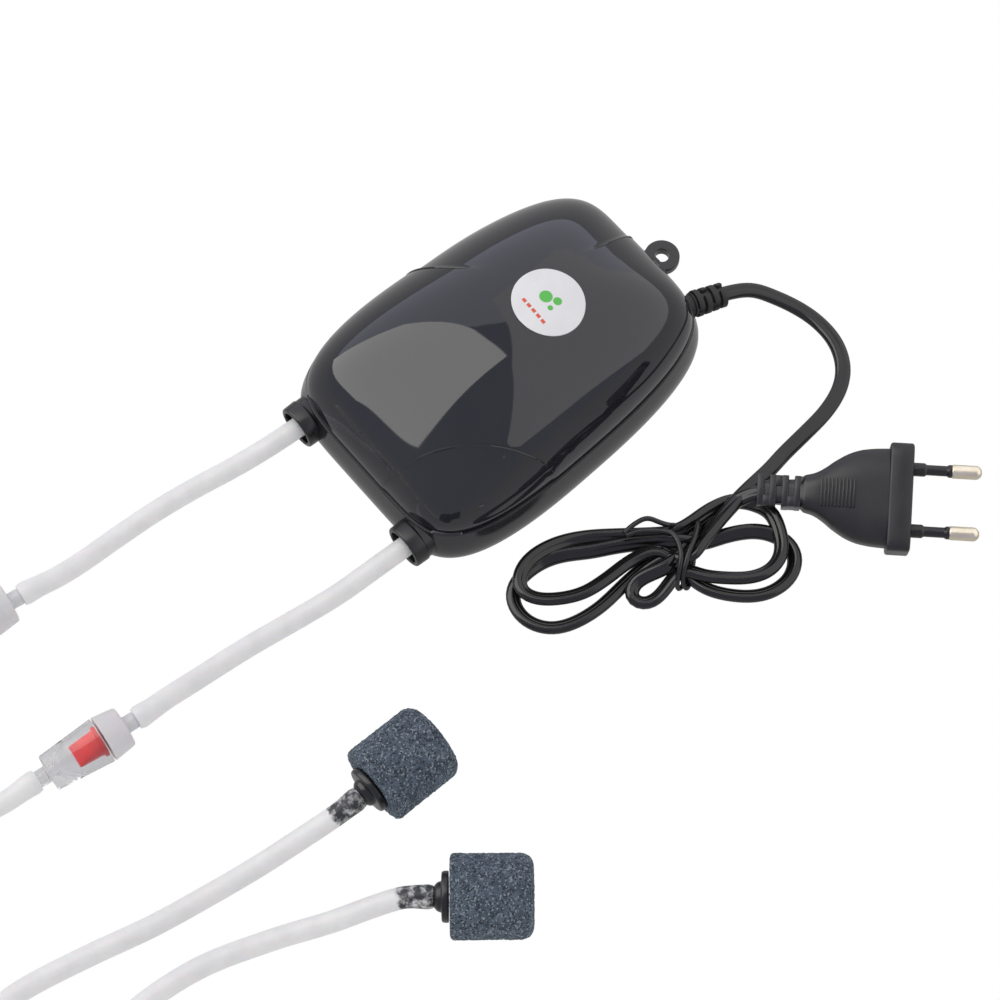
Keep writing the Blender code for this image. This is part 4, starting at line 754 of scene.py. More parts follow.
def make_lead(plug_pieces):
    start = BOOT_PLACE + BOOT_WAY * (BOOT_LENGTH - 1.5)
    route = [tuple(start), tuple(start + BOOT_WAY * 3.5)] + LEAD_ROUTE
    straight = len(route)
    route += [hank_point(p) for p in HANK_ROUTE]
    path = [row(p) for p in smooth_route(route, 1.3, passes=5)]
    flat_share = run_lengths([row(p) for p in smooth_route(route[:straight + 1], 1.3)])[-1]

    def tilt(run, total):
        return HANK_TILT * ease(run, flat_share, flat_share + 0.03) * ease(total - run, 0.008, 0.03)

    bm = bmesh.new()
    runs = sweep(bm, path, lambda run, total: TWIN, tilt)
    lead = finish_piece("mains_lead_cable", bm, SLEEVE, ["mains_lead", "mains_hank"],
                        crease=60.0)

    bm = bmesh.new()
    wire = [row(hank_point(p)) for p in smooth_route(TIE_ROUTE, 0.8, passes=2)]
    round_wire = circle(TIE_RADIUS * MM, 10)
    sweep(bm, wire, lambda run, total: round_wire)
    tie = finish_piece("twist_tie_wire", bm, BLACK, ["twist_tie"], crease=60.0)


# ---------------------------------------------------------------- what repeats, as Geometry Nodes
def node_tree(name, inputs):
    tree = bpy.data.node_groups.new(name, "GeometryNodeTree")
    for label, kind in inputs:
        tree.interface.new_socket(name=label, in_out="INPUT", socket_type=kind)
    tree.interface.new_socket(name="Geometry", in_out="OUTPUT", socket_type="NodeSocketGeometry")
    start = tree.nodes.new("NodeGroupInput")
    end = tree.nodes.new("NodeGroupOutput")
    return tree, start, end


def geometry_node(tree, kind, links, **plain):
    made = tree.nodes.new(kind)
    for label, value in plain.items():
        setattr(made, label, value)
    for label, value in links.items():
        feed(tree, value, made.inputs[label])
    return made


def end_tree(tree, start, end, geometry):
    real = geometry_node(tree, "GeometryNodeRealizeInstances", {"Geometry": geometry})
    painted = geometry_node(tree, "GeometryNodeSetMaterial", {"Geometry": real.outputs[0],
                                                              "Material": start.outputs["Material"]})
    tree.links.new(painted.outputs[0], end.inputs[0])
    return tree


def make_arc_rib_tree():
    """Ribs of two arcs each, stacked along Z, each turned from the last."""
    tree, start, end = node_tree("arc_ribs", [
        ("Count", "NodeSocketInt"), ("Pitch", "NodeSocketFloat"), ("Radius", "NodeSocketFloat"),
        ("Depth", "NodeSocketFloat"), ("Width", "NodeSocketFloat"), ("Sweep", "NodeSocketFloat"),
        ("Turn", "NodeSocketFloat"), ("Shrink", "NodeSocketFloat"), ("Material", "NodeSocketMaterial")])
    inputs = start.outputs
    arc = geometry_node(tree, "GeometryNodeCurveArc", {"Resolution": 20, "Radius": inputs["Radius"],
                                                       "Sweep Angle": inputs["Sweep"]}, mode="RADIUS")
    bar = geometry_node(tree, "GeometryNodeCurvePrimitiveQuadrilateral",
                        {"Width": inputs["Depth"], "Height": inputs["Width"]})
    rib = geometry_node(tree, "GeometryNodeCurveToMesh", {
        "Curve": arc.outputs[0], "Profile Curve": bar.outputs[0], "Fill Caps": True})
    other = geometry_node(tree, "GeometryNodeTransform", {"Geometry": rib.outputs[0],
                                                          "Rotation": (0.0, 0.0, math.pi)})
    pair = geometry_node(tree, "GeometryNodeJoinGeometry", {})
    tree.links.new(rib.outputs[0], pair.inputs[0])
    tree.links.new(other.outputs[0], pair.inputs[0])
    step = geometry_node(tree, "ShaderNodeCombineXYZ", {"Z": inputs["Pitch"]})
    line = geometry_node(tree, "GeometryNodeMeshLine", {"Count": inputs["Count"], "Offset": step.outputs[0]})
    index = geometry_node(tree, "GeometryNodeInputIndex", {})
    turn = math_node(tree, "MULTIPLY", index.outputs[0], inputs["Turn"])
    angle = geometry_node(tree, "ShaderNodeCombineXYZ", {"Z": turn})
    less = math_node(tree, "SUBTRACT", 1.0, math_node(tree, "MULTIPLY", index.outputs[0], inputs["Shrink"]))
    size = geometry_node(tree, "ShaderNodeCombineXYZ", {"X": less, "Y": less, "Z": 1.0})
    placed = geometry_node(tree, "GeometryNodeInstanceOnPoints", {
        "Points": line.outputs[0], "Instance": pair.outputs[0], "Rotation": angle.outputs[0],
        "Scale": size.outputs[0]})
    return end_tree(tree, start, end, placed.outputs[0])


def make_bar_row_tree():
    """Equal bars in a row along X."""
    tree, start, end = node_tree("bar_row", [
        ("Count", "NodeSocketInt"), ("Pitch", "NodeSocketFloat"), ("Bar Size", "NodeSocketVector"),
        ("Material", "NodeSocketMaterial")])
    inputs = start.outputs
    step = geometry_node(tree, "ShaderNodeCombineXYZ", {"X": inputs["Pitch"]})
    line = geometry_node(tree, "GeometryNodeMeshLine", {"Count": inputs["Count"], "Offset": step.outputs[0]})
    bar = geometry_node(tree, "GeometryNodeMeshCube", {"Size": inputs["Bar Size"]})
    placed = geometry_node(tree, "GeometryNodeInstanceOnPoints",
                           {"Points": line.outputs[0], "Instance": bar.outputs[0]})
    return end_tree(tree, start, end, placed.outputs[0])


ARC_RIBS = make_arc_rib_tree()
BAR_ROW = make_bar_row_tree()


def grown(name, tree, place, slot, edge, **values):
    """Runs a tree, keeps its result as a plain mesh at its place, and rounds its edges."""
    seed = bpy.data.objects.new(name + "_seed", bpy.data.meshes.new(name + "_seed"))
    bpy.context.scene.collection.objects.link(seed)
    modifier = seed.modifiers.new("grow", "NODES")
    modifier.node_group = tree
    for item in tree.interface.items_tree:
        if item.in_out == "INPUT":
            modifier[item.identifier] = values[item.name.replace(" ", "_")]
    graph = bpy.context.evaluated_depsgraph_get()
    mesh = bpy.data.meshes.new_from_object(seed.evaluated_get(graph))
    bpy.data.objects.remove(seed)
    bm = bmesh.new()
    bm.from_mesh(mesh)
    bmesh.ops.remove_doubles(bm, verts=bm.verts, dist=1e-6)
    bmesh.ops.transform(bm, matrix=place, verts=bm.verts)
    if edge:
        sharp = [e for e in bm.edges if e.is_manifold and e.calc_face_angle(0.0) > math.radians(40)]
        bmesh.ops.bevel(bm, geom=sharp, offset=edge * MM, segments=2, profile=0.5, affect="EDGES")
    return finish_piece(name, bm, values["Material"])


# ---------------------------------------------------------------- housing
HALF_LENGTH, HALF_WIDTH, TAPER = 55.0, 39.5, 0.086
SIDE_SQUARENESS, END_SQUARENESS = 5.7, 2.6
CROWN_INSET, CROWN_FOOT, CROWN_LOW, CROWN_TOP = 2.1, 17.3, 18.3, 48.0
QUARTER_STEPS = 96
CROWN_RINGS = 84
WALL = 2.0


def quarter_angles(side_power, end_power, long_half, wide_half):
    """Angles that lie evenly along a quarter of the outline."""
    shares = [i / 300 for i in range(301)]
    fine = [(t - math.sin(2 * math.pi * t) / (2 * math.pi)) * math.pi / 2 for t in shares]
    spots = [(wide_half * abs(math.cos(a)) ** (2 / side_power),
              long_half * abs(math.sin(a)) ** (2 / end_power)) for a in fine]
    runs = [0.0]
    for (x0, y0), (x1, y1) in zip(spots, spots[1:]):
        runs.append(runs[-1] + math.hypot(x1 - x0, y1 - y0))
    out, k = [], 0
    for n in range(QUARTER_STEPS):
        want = runs[-1] * n / QUARTER_STEPS
        while k < 299 and runs[k + 1] < want:
            k += 1
        share = (want - runs[k]) / max(runs[k + 1] - runs[k], 1e-9)
        out.append(fine[k] + (fine[k + 1] - fine[k]) * share)
    return out


def outline(inset, height, share=1.0, side_power=SIDE_SQUARENESS, end_power=END_SQUARENESS):
    """One level of the housing: a tapered superellipse, drawn in by an inset and scaled, in millimetres."""
    long_half, wide_half = (HALF_LENGTH - inset) * share, (HALF_WIDTH - inset) * share
    quarter = quarter_angles(side_power, end_power, long_half, wide_half)
    mirrored = [math.pi - a for a in reversed(quarter[1:] + [math.pi / 2])]
    half = quarter + mirrored
    ring = []
    for angle in half + [a + math.pi for a in half]:
        across, along = math.cos(angle), math.sin(angle)
        reach = math.copysign(abs(along) ** (2 / end_power), along)
        x = wide_half * (1 - TAPER * reach) * math.copysign(abs(across) ** (2 / side_power), across)
        ring.append((x, long_half * reach, height))
    return ring


def crown_powers(share):
    """The outline's exponents relax to an ellipse towards the crown."""
    return 2.0 + (SIDE_SQUARENESS - 2.0) * share ** 1.5, 2.0 + (END_SQUARENESS - 2.0) * share


def crown_height(share):
    return CROWN_LOW + (CROWN_TOP - CROWN_LOW) * max(0.0, 1 - share ** 2.2) ** (1 / 1.6)


def crown_at(x, y):
    """Height of the cover over a point of the plan."""
    low, high = 1e-4, 1.2
    for _ in range(40):
        share = (low + high) / 2
        side_power, end_power = crown_powers(min(share, 1.0))
        along = y / ((HALF_LENGTH - CROWN_INSET) * share)
        across = x / ((HALF_WIDTH - CROWN_INSET) * share * (1 - TAPER * along))
        if abs(along) ** end_power + abs(across) ** side_power > 1:
            low = share
        else:
            high = share
    return crown_height(min(share, 1.0))


# Each relief line runs from one plan point to another, bowed towards the middle.
FRONT_PANEL = {"start": (9.0, -53.0), "end": (39.5, -12.2), "bow": 2.4, "out": (0.801, -0.599)}
REAR_PANEL = {"start": (-40.5, -8.0), "end": (-6.0, 56.4), "bow": 19.4, "out": (-0.881, 0.472)}
FRONT_STEP, REAR_STEP = 0.30, 0.50
# A fine bead follows each line between two shares of its length.
BEADS = ((FRONT_PANEL, -0.04, 1.04), (REAR_PANEL, 0.0, 0.26), (REAR_PANEL, 0.76, 1.0))
BEAD_RADIUS, BEAD_LIFT = 0.3, -0.02
PILLARS = ((31.0, -36.0), (26.0, 38.0), (-31.0, -36.0), (-26.0, 38.0))
INNER_SHARES = (0.12, 0.3, 0.45, 0.6, 0.72, 0.82, 0.9, 0.95, 0.98, 1.0)


def panel_place(panel, x, y):
    """Distance inside a relief line (negative outside it) and the share of the way along it."""
    dx, dy = x - panel["start"][0], y - panel["start"][1]
    run_x, run_y = panel["end"][0] - panel["start"][0], panel["end"][1] - panel["start"][1]
    length = math.hypot(run_x, run_y)
    share = (dx * run_x + dy * run_y) / length ** 2
    held = min(1.0, max(0.0, share))
    return dx * panel["out"][0] + dy * panel["out"][1] + panel["bow"] * 4 * held * (1 - held), share


def relief(x, y):
    """Height of the cover's relief over its plain crown, in millimetres."""
    front = -FRONT_STEP * ease(panel_place(FRONT_PANEL, x, y)[0], -0.6, 1.4)
    inside, share = panel_place(REAR_PANEL, x, y)
    ends = ease(abs(2 * share - 1), 0.25, 0.85)
    rear = -REAR_STEP * ends * ease(inside, 0.0, 1.4) * (1 - 0.6 * ease(inside, 3.0, 24.0))
    return front + rear


def relief_line(panel, first, last, lift):
    """Points over the crown along one relief line, between two shares of its length."""
    line = []
    for k in range(121):
        share = first + (last - first) * k / 120
        sag = panel["bow"] * 4 * share * (1 - share)
        x = panel["start"][0] + (panel["end"][0] - panel["start"][0]) * share - panel["out"][0] * sag
        y = panel["start"][1] + (panel["end"][1] - panel["start"][1]) * share - panel["out"][1] * sag
        height = crown_at(x, y)
        if height > CROWN_LOW + 0.6:
            line.append(row((x, y, height + lift)))
    return line


def add_bead(bm, panel, first, last):
    """A bead along a relief line, thin at both ends."""
    line = relief_line(panel, first, last, BEAD_LIFT)
    steps = iter(range(len(line)))

    def bead_ring(run, total):
        k = next(steps)
        return circle(BEAD_RADIUS * MM * min(1.0, 0.25 + 0.06 * k, 0.25 + 0.06 * (len(line) - 1 - k)), 8)

    sweep(bm, line, bead_ring)


def make_cover():
    """Glossy cover: domed crown with two relief lines, upright foot, inner wall and screw pillars."""
    rings = []
    for height in (CROWN_FOOT, CROWN_FOOT + 0.12, CROWN_FOOT + 0.5, CROWN_LOW):
        inset = CROWN_INSET + (0.12 if height == CROWN_FOOT else 0.0)
        rings.append([Vector(p) for p in outline(inset, height)])
    for k in range(1, CROWN_RINGS):
        t = k / CROWN_RINGS
        share = math.cos(t * math.pi / 2) ** 0.62
        side_power, end_power = crown_powers(share)
        level = outline(CROWN_INSET, crown_height(share), share, side_power, end_power)
        rings.append([Vector(p) for p in level])
    count = len(rings[0])
    outer = [ring[:] for ring in rings]
    for r, ring in enumerate(rings):
        above, below = rings[min(r + 1, len(rings) - 1)], rings[max(r - 1, 0)]
        for i, point in enumerate(ring):
            depth = relief(point.x, point.y)
            if abs(depth) < 1e-5:
                continue
            normal = (ring[(i + 1) % count] - ring[i - 1]).cross(above[i] - below[i]).normalized()
            outer[r][i] = point + normal * depth
    inner = []
    wall_inset = CROWN_INSET + WALL + 0.55
    for share in INNER_SHARES:
        side_power, end_power = crown_powers(share)
        height = crown_height(share) - WALL * (1.0 if share < 0.9 else 1.2)
        inner.append(outline(wall_inset, max(height, CROWN_LOW), share, side_power, end_power))
    inner.append(outline(wall_inset, CROWN_FOOT))
    bm = bmesh.new()
    skin(bm, [[row(p) for p in ring] for ring in outer[::-1] + inner[::-1]])
    for bead in BEADS:
        add_bead(bm, *bead)
    for x, y in PILLARS:
        reach = 1 + 3.0 / math.hypot(x, y)
        top = crown_at(x * reach, y * reach) - 0.3 * WALL
        profile = [(0.0, top), (3.0, top), (3.0, 7.0), (2.6, 6.8), (1.5, 6.8), (1.5, 15.0), (0.0, 15.0)]
        lathe(bm, profile, Matrix.Translation(row((x, y, 0.0))), steps=24)
    return finish_piece("upper_cover", bm, GLOSS, ["upper_case"], crease=40.0)


def add_box(bm, low, high):
    corners = [[(low[0], low[1]), (high[0], low[1]), (high[0], high[1]), (low[0], high[1])]] * 2
    skin(bm, [[row((x, y, z)) for x, y in ring] for ring, z in zip(corners, (low[2], high[2]))])


def rod_cutter(start, end, radius, steps=64):
    """A plain cylinder to cut with, between two points in millimetres."""
    start, end = Vector(start), Vector(end)
    bm = bmesh.new()
    place = aim(start, end - start)
    length = (end - start).length
    lathe(bm, [(0.0, 0.0), (radius, 0.0), (radius, length), (0.0, length)], place, steps)
    bmesh.ops.recalc_face_normals(bm, faces=bm.faces)
    mesh = bpy.data.meshes.new("cutter")
    bm.to_mesh(mesh)
    bm.free()
    obj = bpy.data.objects.new("cutter", mesh)
    bpy.context.scene.collection.objects.link(obj)
    return obj


def carve(bm, cutters):
    """Cuts shapes out of a bmesh and gives back the result."""
    bmesh.ops.recalc_face_normals(bm, faces=bm.faces)
    mesh = bpy.data.meshes.new("blank")
    bm.to_mesh(mesh)
    bm.free()
    blank = bpy.data.objects.new("blank", mesh)
    bpy.context.scene.collection.objects.link(blank)
    for cutter in cutters:
        modifier = blank.modifiers.new("cut", "BOOLEAN")
        modifier.object = cutter
        modifier.operation = "DIFFERENCE"
        modifier.solver = "EXACT"
    graph = bpy.context.evaluated_depsgraph_get()
    result = bpy.data.meshes.new_from_object(blank.evaluated_get(graph))
    for obj in [blank] + cutters:
        bpy.data.objects.remove(obj)
    out = bmesh.new()
    out.from_mesh(result)
    return out


EYELET_PLACE = (0.0, 60.4, 5.6)
EYELET_HOLE_RADIUS, EYELET_RADIUS, EYELET_THICKNESS = 2.1, 5.3, 3.0


def make_base():
    """Lower case: belly, rim around the cover, hollow inside, outlet and intake holes, and eyelet."""
    outside = [(2.6, 3.0), (2.2, 3.04), (1.7, 3.18), (1.2, 3.5), (0.75, 4.0), (0.4, 4.7), (0.12, 6.0),
               (0.0, 8.0), (0.12, 10.0), (0.42, 12.0), (0.8, 13.8), (1.2, 15.5), (1.45, 16.5),
               (1.52, 16.85), (1.68, 17.0)]
    inside = [(3.5, 17.0), (3.55, 14.0), (2.9, 11.0), (2.8, 8.5), (3.0, 6.5), (3.9, 5.3), (5.2, 5.0)]
    bm = bmesh.new()
    skin(bm, [[row(p) for p in outline(inset, height)] for inset, height in outside + inside])
    cutters = [rod_cutter((x, -60.0, OUTLET_HEIGHT), (x, -46.0, OUTLET_HEIGHT), 6.5)
               for x in (-OUTLET_X, OUTLET_X)]
    cutters.append(rod_cutter((0.0, 5.0, 1.0), (0.0, 5.0, 7.0), 8.0))
    bm = carve(bm, cutters)

    for side in (-1, 1):
        for near, far in ((9.5, 12.0), (18.6, 21.1)):
            x0, x1 = sorted((side * near, side * far))
            add_box(bm, (x0, -41.0, 4.6), (x1, -35.0, 27.5))
        x0, x1 = sorted((side * 11.8, side * 18.8))
        add_box(bm, (x0, 18.0, 4.6), (x1, 31.0, 14.7))

    hole, rim, thick = EYELET_HOLE_RADIUS, EYELET_RADIUS, EYELET_THICKNESS
    ring = rounded([(hole, 0.0, 0), (rim, 0.0, 0.6), (rim, thick, 0.6), (hole, thick, 0.35),
                    (hole, 0.0, 0.35)])[:-1]
    lathe(bm, ring, aim(EYELET_PLACE, (0.0, 0.0, 1.0)), steps=48, closed=True)
    neck = [(-6.2, 53.2), (6.2, 53.2), (5.0, 55.4), (4.55, 57.0), (4.5, 58.2), (2.9, 58.6), (1.9, 58.7),
            (-1.9, 58.7), (-2.9, 58.6), (-4.5, 58.2), (-4.55, 57.0), (-5.0, 55.4)]
    skin(bm, [[row((x, y, z)) for x, y in neck] for z in (5.65, 5.8, 8.4, 8.55)])
    return finish_piece("lower_case", bm, CASE, ["base_case"], crease=38.0)


BADGE_X, BADGE_Y, BADGE_RADIUS = 5.3, 11.0, 10.4
BADGE_UNDER, BADGE_TOP, BADGE_EDGE = 0.12, 0.5, 0.06


def make_badge():
    """A thin round label that follows the crown."""
    rings = 14
    levels = []
    for lift in (BADGE_UNDER, BADGE_TOP):
        rows = []
        for k in range(rings, 0, -1):
            trim = BADGE_EDGE if k == rings and lift == BADGE_TOP else 0.0
            spots = [(BADGE_X + x, BADGE_Y + y) for x, y in circle(BADGE_RADIUS * k / rings, 96)]
            rows.append([row((x, y, crown_at(x, y) + lift - trim)) for x, y in spots])
        levels.append(rows)
    bm = bmesh.new()
    skin(bm, list(reversed(levels[0])) + levels[1])
    return finish_piece("badge_label", bm, make_badge_print(), ["badge"], crease=50.0)


def make_badge_print():
    """White label with three green bubbles over a row of red dashes."""
    made, tree, shader = start_material("badge_white")
    surface = place_group(tree, MOULDING, Colour=(0.80, 0.80, 0.82, 1), Mottle_Colour=(0.76, 0.76, 0.78, 1),
                          Mottle_Scale=90.0, Texture_Scale=1800.0, Gloss_Low=0.28, Gloss_High=0.38)
    middle = (-BADGE_X * MM, -(BADGE_Y + SHIFT_Y) * MM, 0.0)
    flat = object_vector(tree, stretch=(1.0, 1.0, 0.0), place=middle)

    def bubble(x, y, radius):
        gap = tree.nodes.new("ShaderNodeVectorMath")
        gap.operation = "DISTANCE"
        tree.links.new(flat, gap.inputs[0])
        gap.inputs[1].default_value = (x * MM, y * MM, 0.0)
        return spread(tree, gap.outputs["Value"], (radius + 0.12) * MM, (radius - 0.12) * MM)

    green = math_node(tree, "MAXIMUM", bubble(-1.3, 0.2, 1.9), bubble(1.7, 1.9, 1.25))
    green = math_node(tree, "MAXIMUM", green, bubble(2.1, -1.1, 0.8))
    spot = tree.nodes.new("ShaderNodeSeparateXYZ")
    tree.links.new(flat, spot.inputs[0])
    off_row = math_node(tree, "ABSOLUTE", math_node(tree, "ADD", spot.outputs["Y"], 5.4 * MM))
    in_row = spread(tree, off_row, 0.6 * MM, 0.4 * MM)
    in_length = spread(tree, math_node(tree, "ABSOLUTE", spot.outputs["X"]), 5.1 * MM, 4.9 * MM)
    dash = spread(tree, math_node(tree, "PINGPONG", spot.outputs["X"], 1.0 * MM), 0.72 * MM, 0.62 * MM)
    red = math_node(tree, "MULTIPLY", math_node(tree, "MULTIPLY", in_row, in_length), dash)
    base = mix_colours(tree, green, surface.outputs["Colour"], (0.10, 0.50, 0.08, 1))
    base = mix_colours(tree, red, base, (0.70, 0.10, 0.05, 1))
    tree.links.new(base, shader.inputs["Base Color"])
    tree.links.new(surface.outputs["Roughness"], shader.inputs["Roughness"])
    add_bump(tree, shader, surface.outputs["Height"], 0.08, 0.00005)
    return made


COLLAR = rounded([(5.3, 0.0, 0), (6.45, 0.0, 0.3), (6.45, 4.6, 0.3), (6.75, 5.0, 0.3), (6.6, 9.1, 0.55),
                  (5.35, 9.2, 0.4), (5.2, 8.6, 0.3), (5.2, 1.0, 0.3), (5.3, 0.0, 0)])[:-1]
FOOT = rounded([(0.0, 4.8, 0), (2.0, 4.8, 0.2), (2.0, 2.7, 0.1), (6.0, 2.7, 0.35), (6.0, 0.9, 0.6),
                (5.3, 0.0, 0.5), (3.2, 0.0, 0.3), (2.9, 0.5, 0.3), (0.0, 0.5, 0)])


def make_collars_and_feet():
    for side, sign in (("left", -1), ("right", 1)):
        place = aim((sign * OUTLET_X, -49.0, OUTLET_HEIGHT), (0.0, -1.0, 0.0))
        turned_piece(f"outlet_ring_{side}", COLLAR, place, BLACK,
                     [f"outlet_collar_{side}"], steps=72, closed=True)
        for end, (x, y) in (("front", (25.0, -20.0)), ("rear", (23.0, 22.0))):
            place = Matrix.Translation(row((sign * x, y, 0.0)))
            turned_piece(f"rubber_foot_{end}_{side}", FOOT, place, RUBBER,
                         [f"foot_{end}_{side}"], steps=48)


def make_boot():
    """Strain relief: a plain core, and ribs of two arcs each, staggered by a quarter turn."""
    place = aim(BOOT_PLACE, BOOT_WAY)
    profile = rounded([(0.0, -6.1, 0), (4.4, -6.1, 0.3), (4.4, -4.7, 0.3), (3.2, -4.7, 0.1),
                       (3.2, 0.6, 0.2), (3.7, 0.9, 0.2), (3.5, 1.6, 0.3), (2.95, 2.0, 0.3),
                       (2.75, BOOT_LENGTH - 0.1, 0.4), (0.0, BOOT_LENGTH, 0)])
    turned_piece("boot_core", profile, place, RUBBER, ["cord_boot"], steps=48)
    stack = place @ Matrix.Translation((0.0, 0.0, 2.6 * MM))
    grown("boot_ribs", ARC_RIBS, stack, "black_rubber", 0.18, Count=4, Pitch=2.62 * MM, Radius=3.2 * MM,
          Depth=1.7 * MM, Width=1.75 * MM, Sweep=math.radians(150), Turn=math.pi / 2, Shrink=0.025,
          Material=RUBBER)


# ---------------------------------------------------------------- plug
# The plug's own X runs from its tail to its pins; its origin lies inside the flange.
PLUG_TURN, PLUG_RISE, PLUG_ROLL = 45.0, 3.0, 15.0
PLUG_PLACE = (Matrix.Translation(row((103.2, 59.6, 9.7)))
              @ Matrix.Rotation(math.radians(PLUG_TURN), 4, "Z")
              @ Matrix.Rotation(math.radians(-PLUG_RISE), 4, "Y")
              @ Matrix.Rotation(math.radians(PLUG_ROLL), 4, "X"))
PIN_HALF_SPACING = 8.85
PLUG_TAIL = -39.6                  # first plate of the plug's own strain relief
PLATE_PITCH = 3.5
GRIP_PLACE, GRIP_HEIGHT, GRIP_SLOPE = -22.4, 5.42, 4.2


def plug_spot(x, y, z):
    """A place on the plug, in millimetres of its own frame."""
    return PLUG_PLACE @ Matrix.Translation((x * MM, y * MM, z * MM))


def plug_ring(along, wide, high, power, count=64):
    spots = [power_point(2 * math.pi * (i + 0.5) / count, wide, high, power) for i in range(count)]
    return [PLUG_PLACE @ (Vector((along, across, up)) * MM) for across, up in spots]


def between(stations, along):
    """Smoothly interpolated values of (along, a, b, ...) stations."""
    ends = [stations[0]] + stations + [stations[-1]]
    for i in range(1, len(ends) - 2):
        if along <= ends[i + 1][0] or i == len(ends) - 3:
            t = min(1.0, max(0.0, (along - ends[i][0]) / (ends[i + 1][0] - ends[i][0])))
            out = []
            for a, b, c, d in zip(*(s[1:] for s in ends[i - 1:i + 3])):
                bend, twist = 2 * a - 5 * b + 4 * c - d, -a + 3 * b - 3 * c + d
                out.append(0.5 * (2 * b + (c - a) * t + bend * t * t + twist * t ** 3))
            return out
    return list(stations[-1][1:])


def make_plug():
    """Bell and flange, strain relief of plates and links, finger ribs, and two sleeved pins."""
    bell = [(-28.4, 4.2, 4.2, 2.6), (-27.2, 5.2, 4.9, 3.0), (-24.5, 5.9, 5.3, 3.4),
            (-22.0, 7.3, 5.4, 3.6), (-19.0, 9.6, 5.5, 3.6), (-15.5, 11.8, 5.65, 3.6),
            (-12.0, 13.2, 5.75, 3.6), (-8.0, 13.9, 5.8, 3.6), (-3.0, 14.2, 5.8, 3.6)]
    bm = bmesh.new()
    rings = []
    for k in range(61):
        along = bell[0][0] + (bell[-1][0] - bell[0][0]) * k / 60
        wide, high, power = between(bell, along)
        rings.append(plug_ring(along, wide, high, power))
    skin(bm, rings)
    flange = [(-3.6, 14.9, 5.5), (-3.45, 15.3, 5.9), (-3.2, 15.5, 6.1), (-2.8, 15.6, 6.2), (2.5, 15.6, 6.2),
              (2.9, 15.45, 6.05), (3.1, 15.15, 5.75), (3.2, 14.8, 5.4)]
    skin(bm, [plug_ring(along, wide, high, 9.0) for along, wide, high in flange])
    core = [(-40.5, 2.7, 2.2), (-40.1, 3.1, 2.7), (-34.0, 3.5, 3.2), (-27.0, 4.0, 3.7)]
    skin(bm, [plug_ring(along, wide, high, 4.0) for along, wide, high in core])
    body = finish_piece("plug_moulding", bm, PLUG_BLACK, ["plug_body"], crease=34.0)

    def bars(name, place, edge, count, pitch, size):
        return grown(name, BAR_ROW, place, "black_plastic", edge, Count=count, Pitch=pitch * MM,
                     Bar_Size=tuple(side * MM for side in size), Material=PLUG_BLACK)

    plates = bars("plug_relief_plates", plug_spot(PLUG_TAIL, 0.0, 0.0), 0.3, 4, PLATE_PITCH, (1.9, 9.0, 7.6))
    links = []
    for side, sign, first in (("near", -1, PLUG_TAIL + 1.75), ("far", 1, PLUG_TAIL + 5.25)):
        links.append(bars(f"plug_relief_links_{side}", plug_spot(first, sign * 2.9, 0.0), 0.2, 2,
                          2 * PLATE_PITCH, (2.4, 3.0, 7.4)))
    ribs = []
    for side, sign in (("top", 1), ("under", -1)):
        slope = Matrix.Rotation(math.radians(-GRIP_SLOPE * sign), 4, "Y")
        place = plug_spot(GRIP_PLACE, 0.0, sign * GRIP_HEIGHT) @ slope
        ribs.append(bars(f"plug_grip_{side}", place, 0.12, 10, 1.02, (0.5, 8.2, 0.9)))

    metal = rounded([(0.0, 14.2, 0), (1.9, 14.2, 0.2), (2.0, 14.6, 0.2), (2.0, 21.6, 0.9),
                     (0.9, 22.6, 0.6), (0.0, 22.7, 0)])
    sleeve = rounded([(0.0, 3.1, 0), (1.95, 3.1, 0.1), (1.95, 6.6, 0.3), (1.5, 7.0, 0.3),
                      (1.5, 12.9, 0.4), (1.85, 13.3, 0.3), (1.85, 14.3, 0.2), (0.0, 14.3, 0)])
    pins = []
    for sign, side in ((-1, "near"), (1, "far")):
        place = plug_spot(0.0, sign * PIN_HALF_SPACING, 0.0) @ Matrix.Rotation(math.pi / 2, 4, "Y")
        pins.append(turned_piece(f"plug_pin_tip_{side}", metal, place, PIN_METAL,
                                 [f"plug_pin_{side}"], steps=48))
        pins.append(turned_piece(f"plug_pin_sleeve_{side}", sleeve, place, BLACK, (),
                                 steps=48))
    return [body, plates] + links + ribs + pins


make_cover()
make_base()
make_badge()
make_collars_and_feet()
make_boot()
make_airlines()
make_lead(make_plug())

# ---------------------------------------------------------------- CAD pieces that keep their shape
NODE_FINISHES = {
    "case_screw": ZINC, "pivot_pin": ZINC, "filter_pad": FELT, "filter_cover": BLACK,
    "magnet_core": STEEL_STACK, "coil_bobbin": NYLON, "coil_winding": WINDING, "inner_lead": SLEEVE,
    "air_chamber": NYLON, "valve_plate": NYLON, "inlet_flap": RUBBER, "outlet_flap": RUBBER,
    "diaphragm": RUBBER, "swing_arm": BLACK, "arm_magnet": FERRITE,
}
for node_name, node in NODES.items():
    finishes = [surface for start, surface in NODE_FINISHES.items() if node_name.startswith(start)]
    if finishes and not node.hide_render:
        node.data.materials.clear()
        node.data.materials.append(finishes[0])


